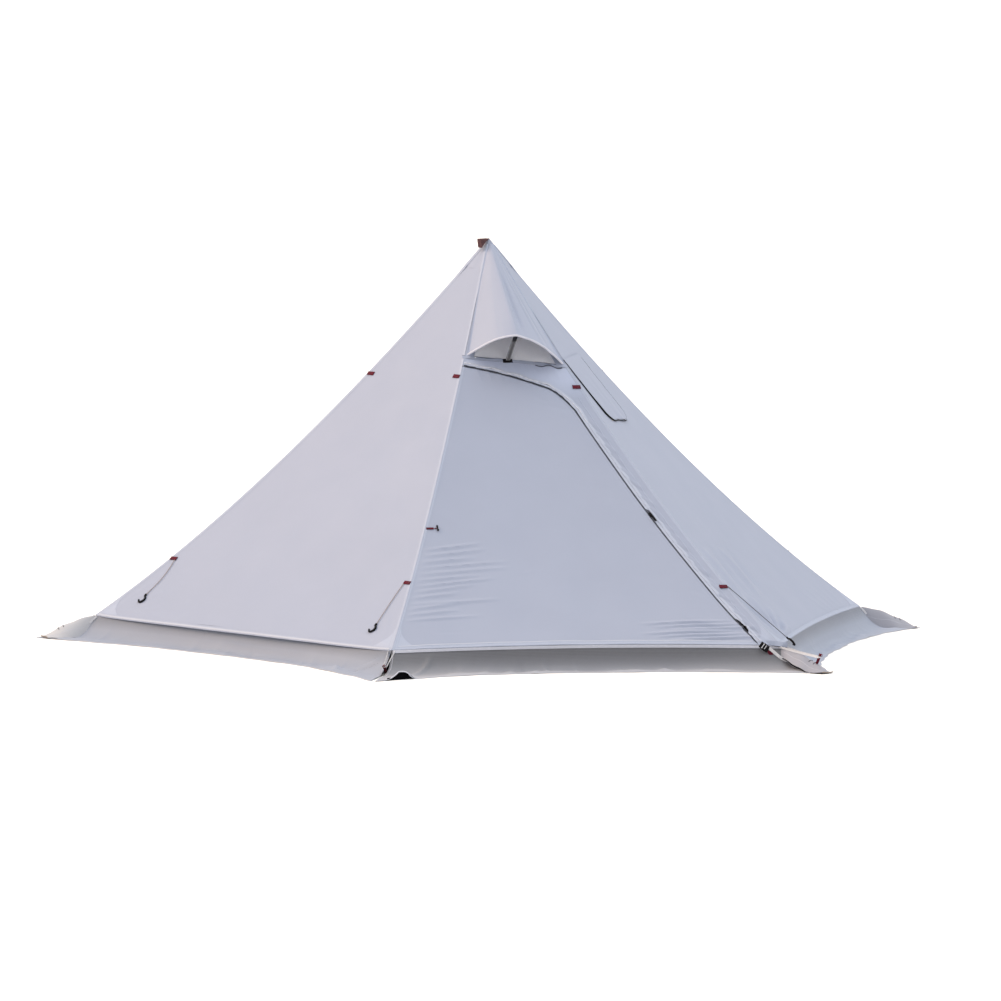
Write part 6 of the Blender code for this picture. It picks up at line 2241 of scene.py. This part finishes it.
def make_corner_flap(corner):
    """A facing that hangs over the slot between two skirts, from the hem's corner to the ground."""
    outward = corner_axis(corner)
    across = np.cross(UP, outward)
    longest = FLAP_REACHES[corner]
    reach = np.linspace(0.012, longest, 44)[:, None]
    place_across = np.linspace(-1, 1, 25)[None, :]
    crest = 0.120 - 0.112 * reach / longest + 0.017 * np.sin(math.pi * reach / longest)
    half = 0.014 + 0.052 * np.sin(math.pi * np.clip(reach / 0.40, 0, 1)) ** 0.8
    drop = np.minimum(crest - 0.005, 0.052 if corner == 1 else 0.098)
    ripple = 0.0030 * np.sin(reach * 47 + place_across * 3 + corner) * smooth((reach - 0.03) / 0.1)
    level = crest - drop * np.abs(place_across) ** 1.4 + ripple
    points = outward * (CORNER_RADIUS + reach)[..., None] + across * (place_across * half)[..., None]
    points = points + UP * level[..., None]
    uv = pair(reach, place_across * half)
    shape = Shape().slab(points, 0.0010, UP, uv)
    for row in (-1, 0, 1):
        line = points[4:-3, 12 + row * 7] + UP * 0.0012
        shape.tube(line, 0.0008, sides=5, slot=1)
    shape.tube(points[-1] + UP * 0.0012, 0.0032, slot=2)
    shape.tube(points[:, -1] + UP * 0.0008, 0.0013, sides=6)
    # On the front-right corner's flap, a thicker near-black tube along its first edge paints the shadow under
    # that edge
    radius, slot = (0.0024, 4) if corner == 1 else (0.0013, 0)
    shape.tube(points[:, 0] + UP * 0.0004, radius, sides=6, slot=slot)
    # Bar tacks
    for along_flap in (27, 31):
        tack = points[along_flap, 9:16] + UP * 0.0016
        shape.tube(tack, 0.0021, sides=6, slot=3)
    # The left corner takes the paler copy: painted light
    cloth = LIT_FLAP_CLOTH if corner == 5 else FLAP_CLOTH
    materials = [cloth, THREAD, TIP_BINDING, DARK_THREAD, SHADE]
    item = shape.piece("skirt_corner_flap_" + CORNER_NAMES[corner], materials)
    place(item, "canopy", "skirt")


def front_place(lateral, level, ahead):
    """A point in front of the door side's hem."""
    outward, along = side_axes(FRONT)
    return outward * (SIDE_DISTANCE + ahead) + along * lateral + UP * level


def tilted(lateral, level, ahead, angle):
    """Axes for a flat piece in front of the hem, turned down to the right."""
    outward, along = side_axes(FRONT)
    run = along * math.cos(angle) - UP * math.sin(angle)
    return axes_matrix(run, np.cross(outward, run), outward, front_place(lateral, level, ahead))


def make_buckle():
    """The side-release buckle that tightens the hem, with its webbing tails."""
    shape = Shape()
    body = tilted(0.975, 0.117, 0.030, math.radians(36))
    shape.block((0.056, 0.034, 0.010), body, 0.0030, 3)
    for sign in (-1, 1):
        rail = shifted(body, (0.006, sign * 0.0165, 0))
        shape.block((0.034, 0.0040, 0.0120), rail, 0.0012, 2)
    shape.block((0.0050, 0.030, 0.0130), shifted(body, (-0.012, 0, 0)), 0.0012, 2, slot=1)
    shape.block((0.0040, 0.024, 0.0130), shifted(body, (0.004, 0.002, 0)), 0.0010, 2, slot=1)
    tail = tilted(1.010, 0.083, 0.030, math.radians(52))
    shape.block((0.050, 0.020, 0.0030), tail, 0.0008, 2, slot=2)
    places = ((0.955, 0.126, 0.012), (1.005, 0.107, 0.036), (1.060, 0.062, 0.060), (1.150, 0.016, 0.090))
    path = [front_place(*spot) for spot in places]
    shape.ribbon(smooth_path(path, 40), UP, 0.016, 0.0016, 1)
    # The storm flap's tongue over the corner
    share = np.linspace(0, 1, 20)[:, None]
    height_share = np.linspace(0, 1, 7)[None, :]
    top = [front_place(0.985 + 0.125 * t, 0.150 - 0.010 * t, 0.006 + 0.010 * t) for t in share[:, 0]]
    low = [front_place(1.020 + 0.085 * t, 0.122 - 0.010 * t, 0.016 + 0.006 * t) for t in share[:, 0]]
    tongue = np.array(top)[:, None] * (1 - height_share[..., None])
    tongue = tongue + np.array(low)[:, None] * height_share[..., None]
    tongue = tongue + side_axes(FRONT)[0] * (0.0030 * np.sin(share * 9 + 3 * height_share))[..., None]
    shape.slab(tongue, 0.0010, side_axes(FRONT)[0], slot=3)
    rim = tongue[:, -1]
    shape.tube(rim, 0.0018, sides=6)
    item = shape.piece("hem_buckle_front_right", [BLACK_PLASTIC, WHITE_WEBBING, RED_WEBBING, SEAM])
    place(item, "canopy", "black_plastic")


for flap_corner in FLAP_REACHES:
    make_corner_flap(flap_corner)
make_buckle()


# Pole

def repaint(node, material):
    """Gives a solid that stays its own finish."""
    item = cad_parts[node]
    item.data.materials.clear()
    item.data.materials.append(material)
    for face in item.data.polygons:
        face.material_index = 0


repaint("pole_lower", ALUMINIUM)
repaint("pole_upper", ALUMINIUM)
repaint("pole_foot", RUBBER)
repaint("pole_clamp_lever", BLACK_PLASTIC)
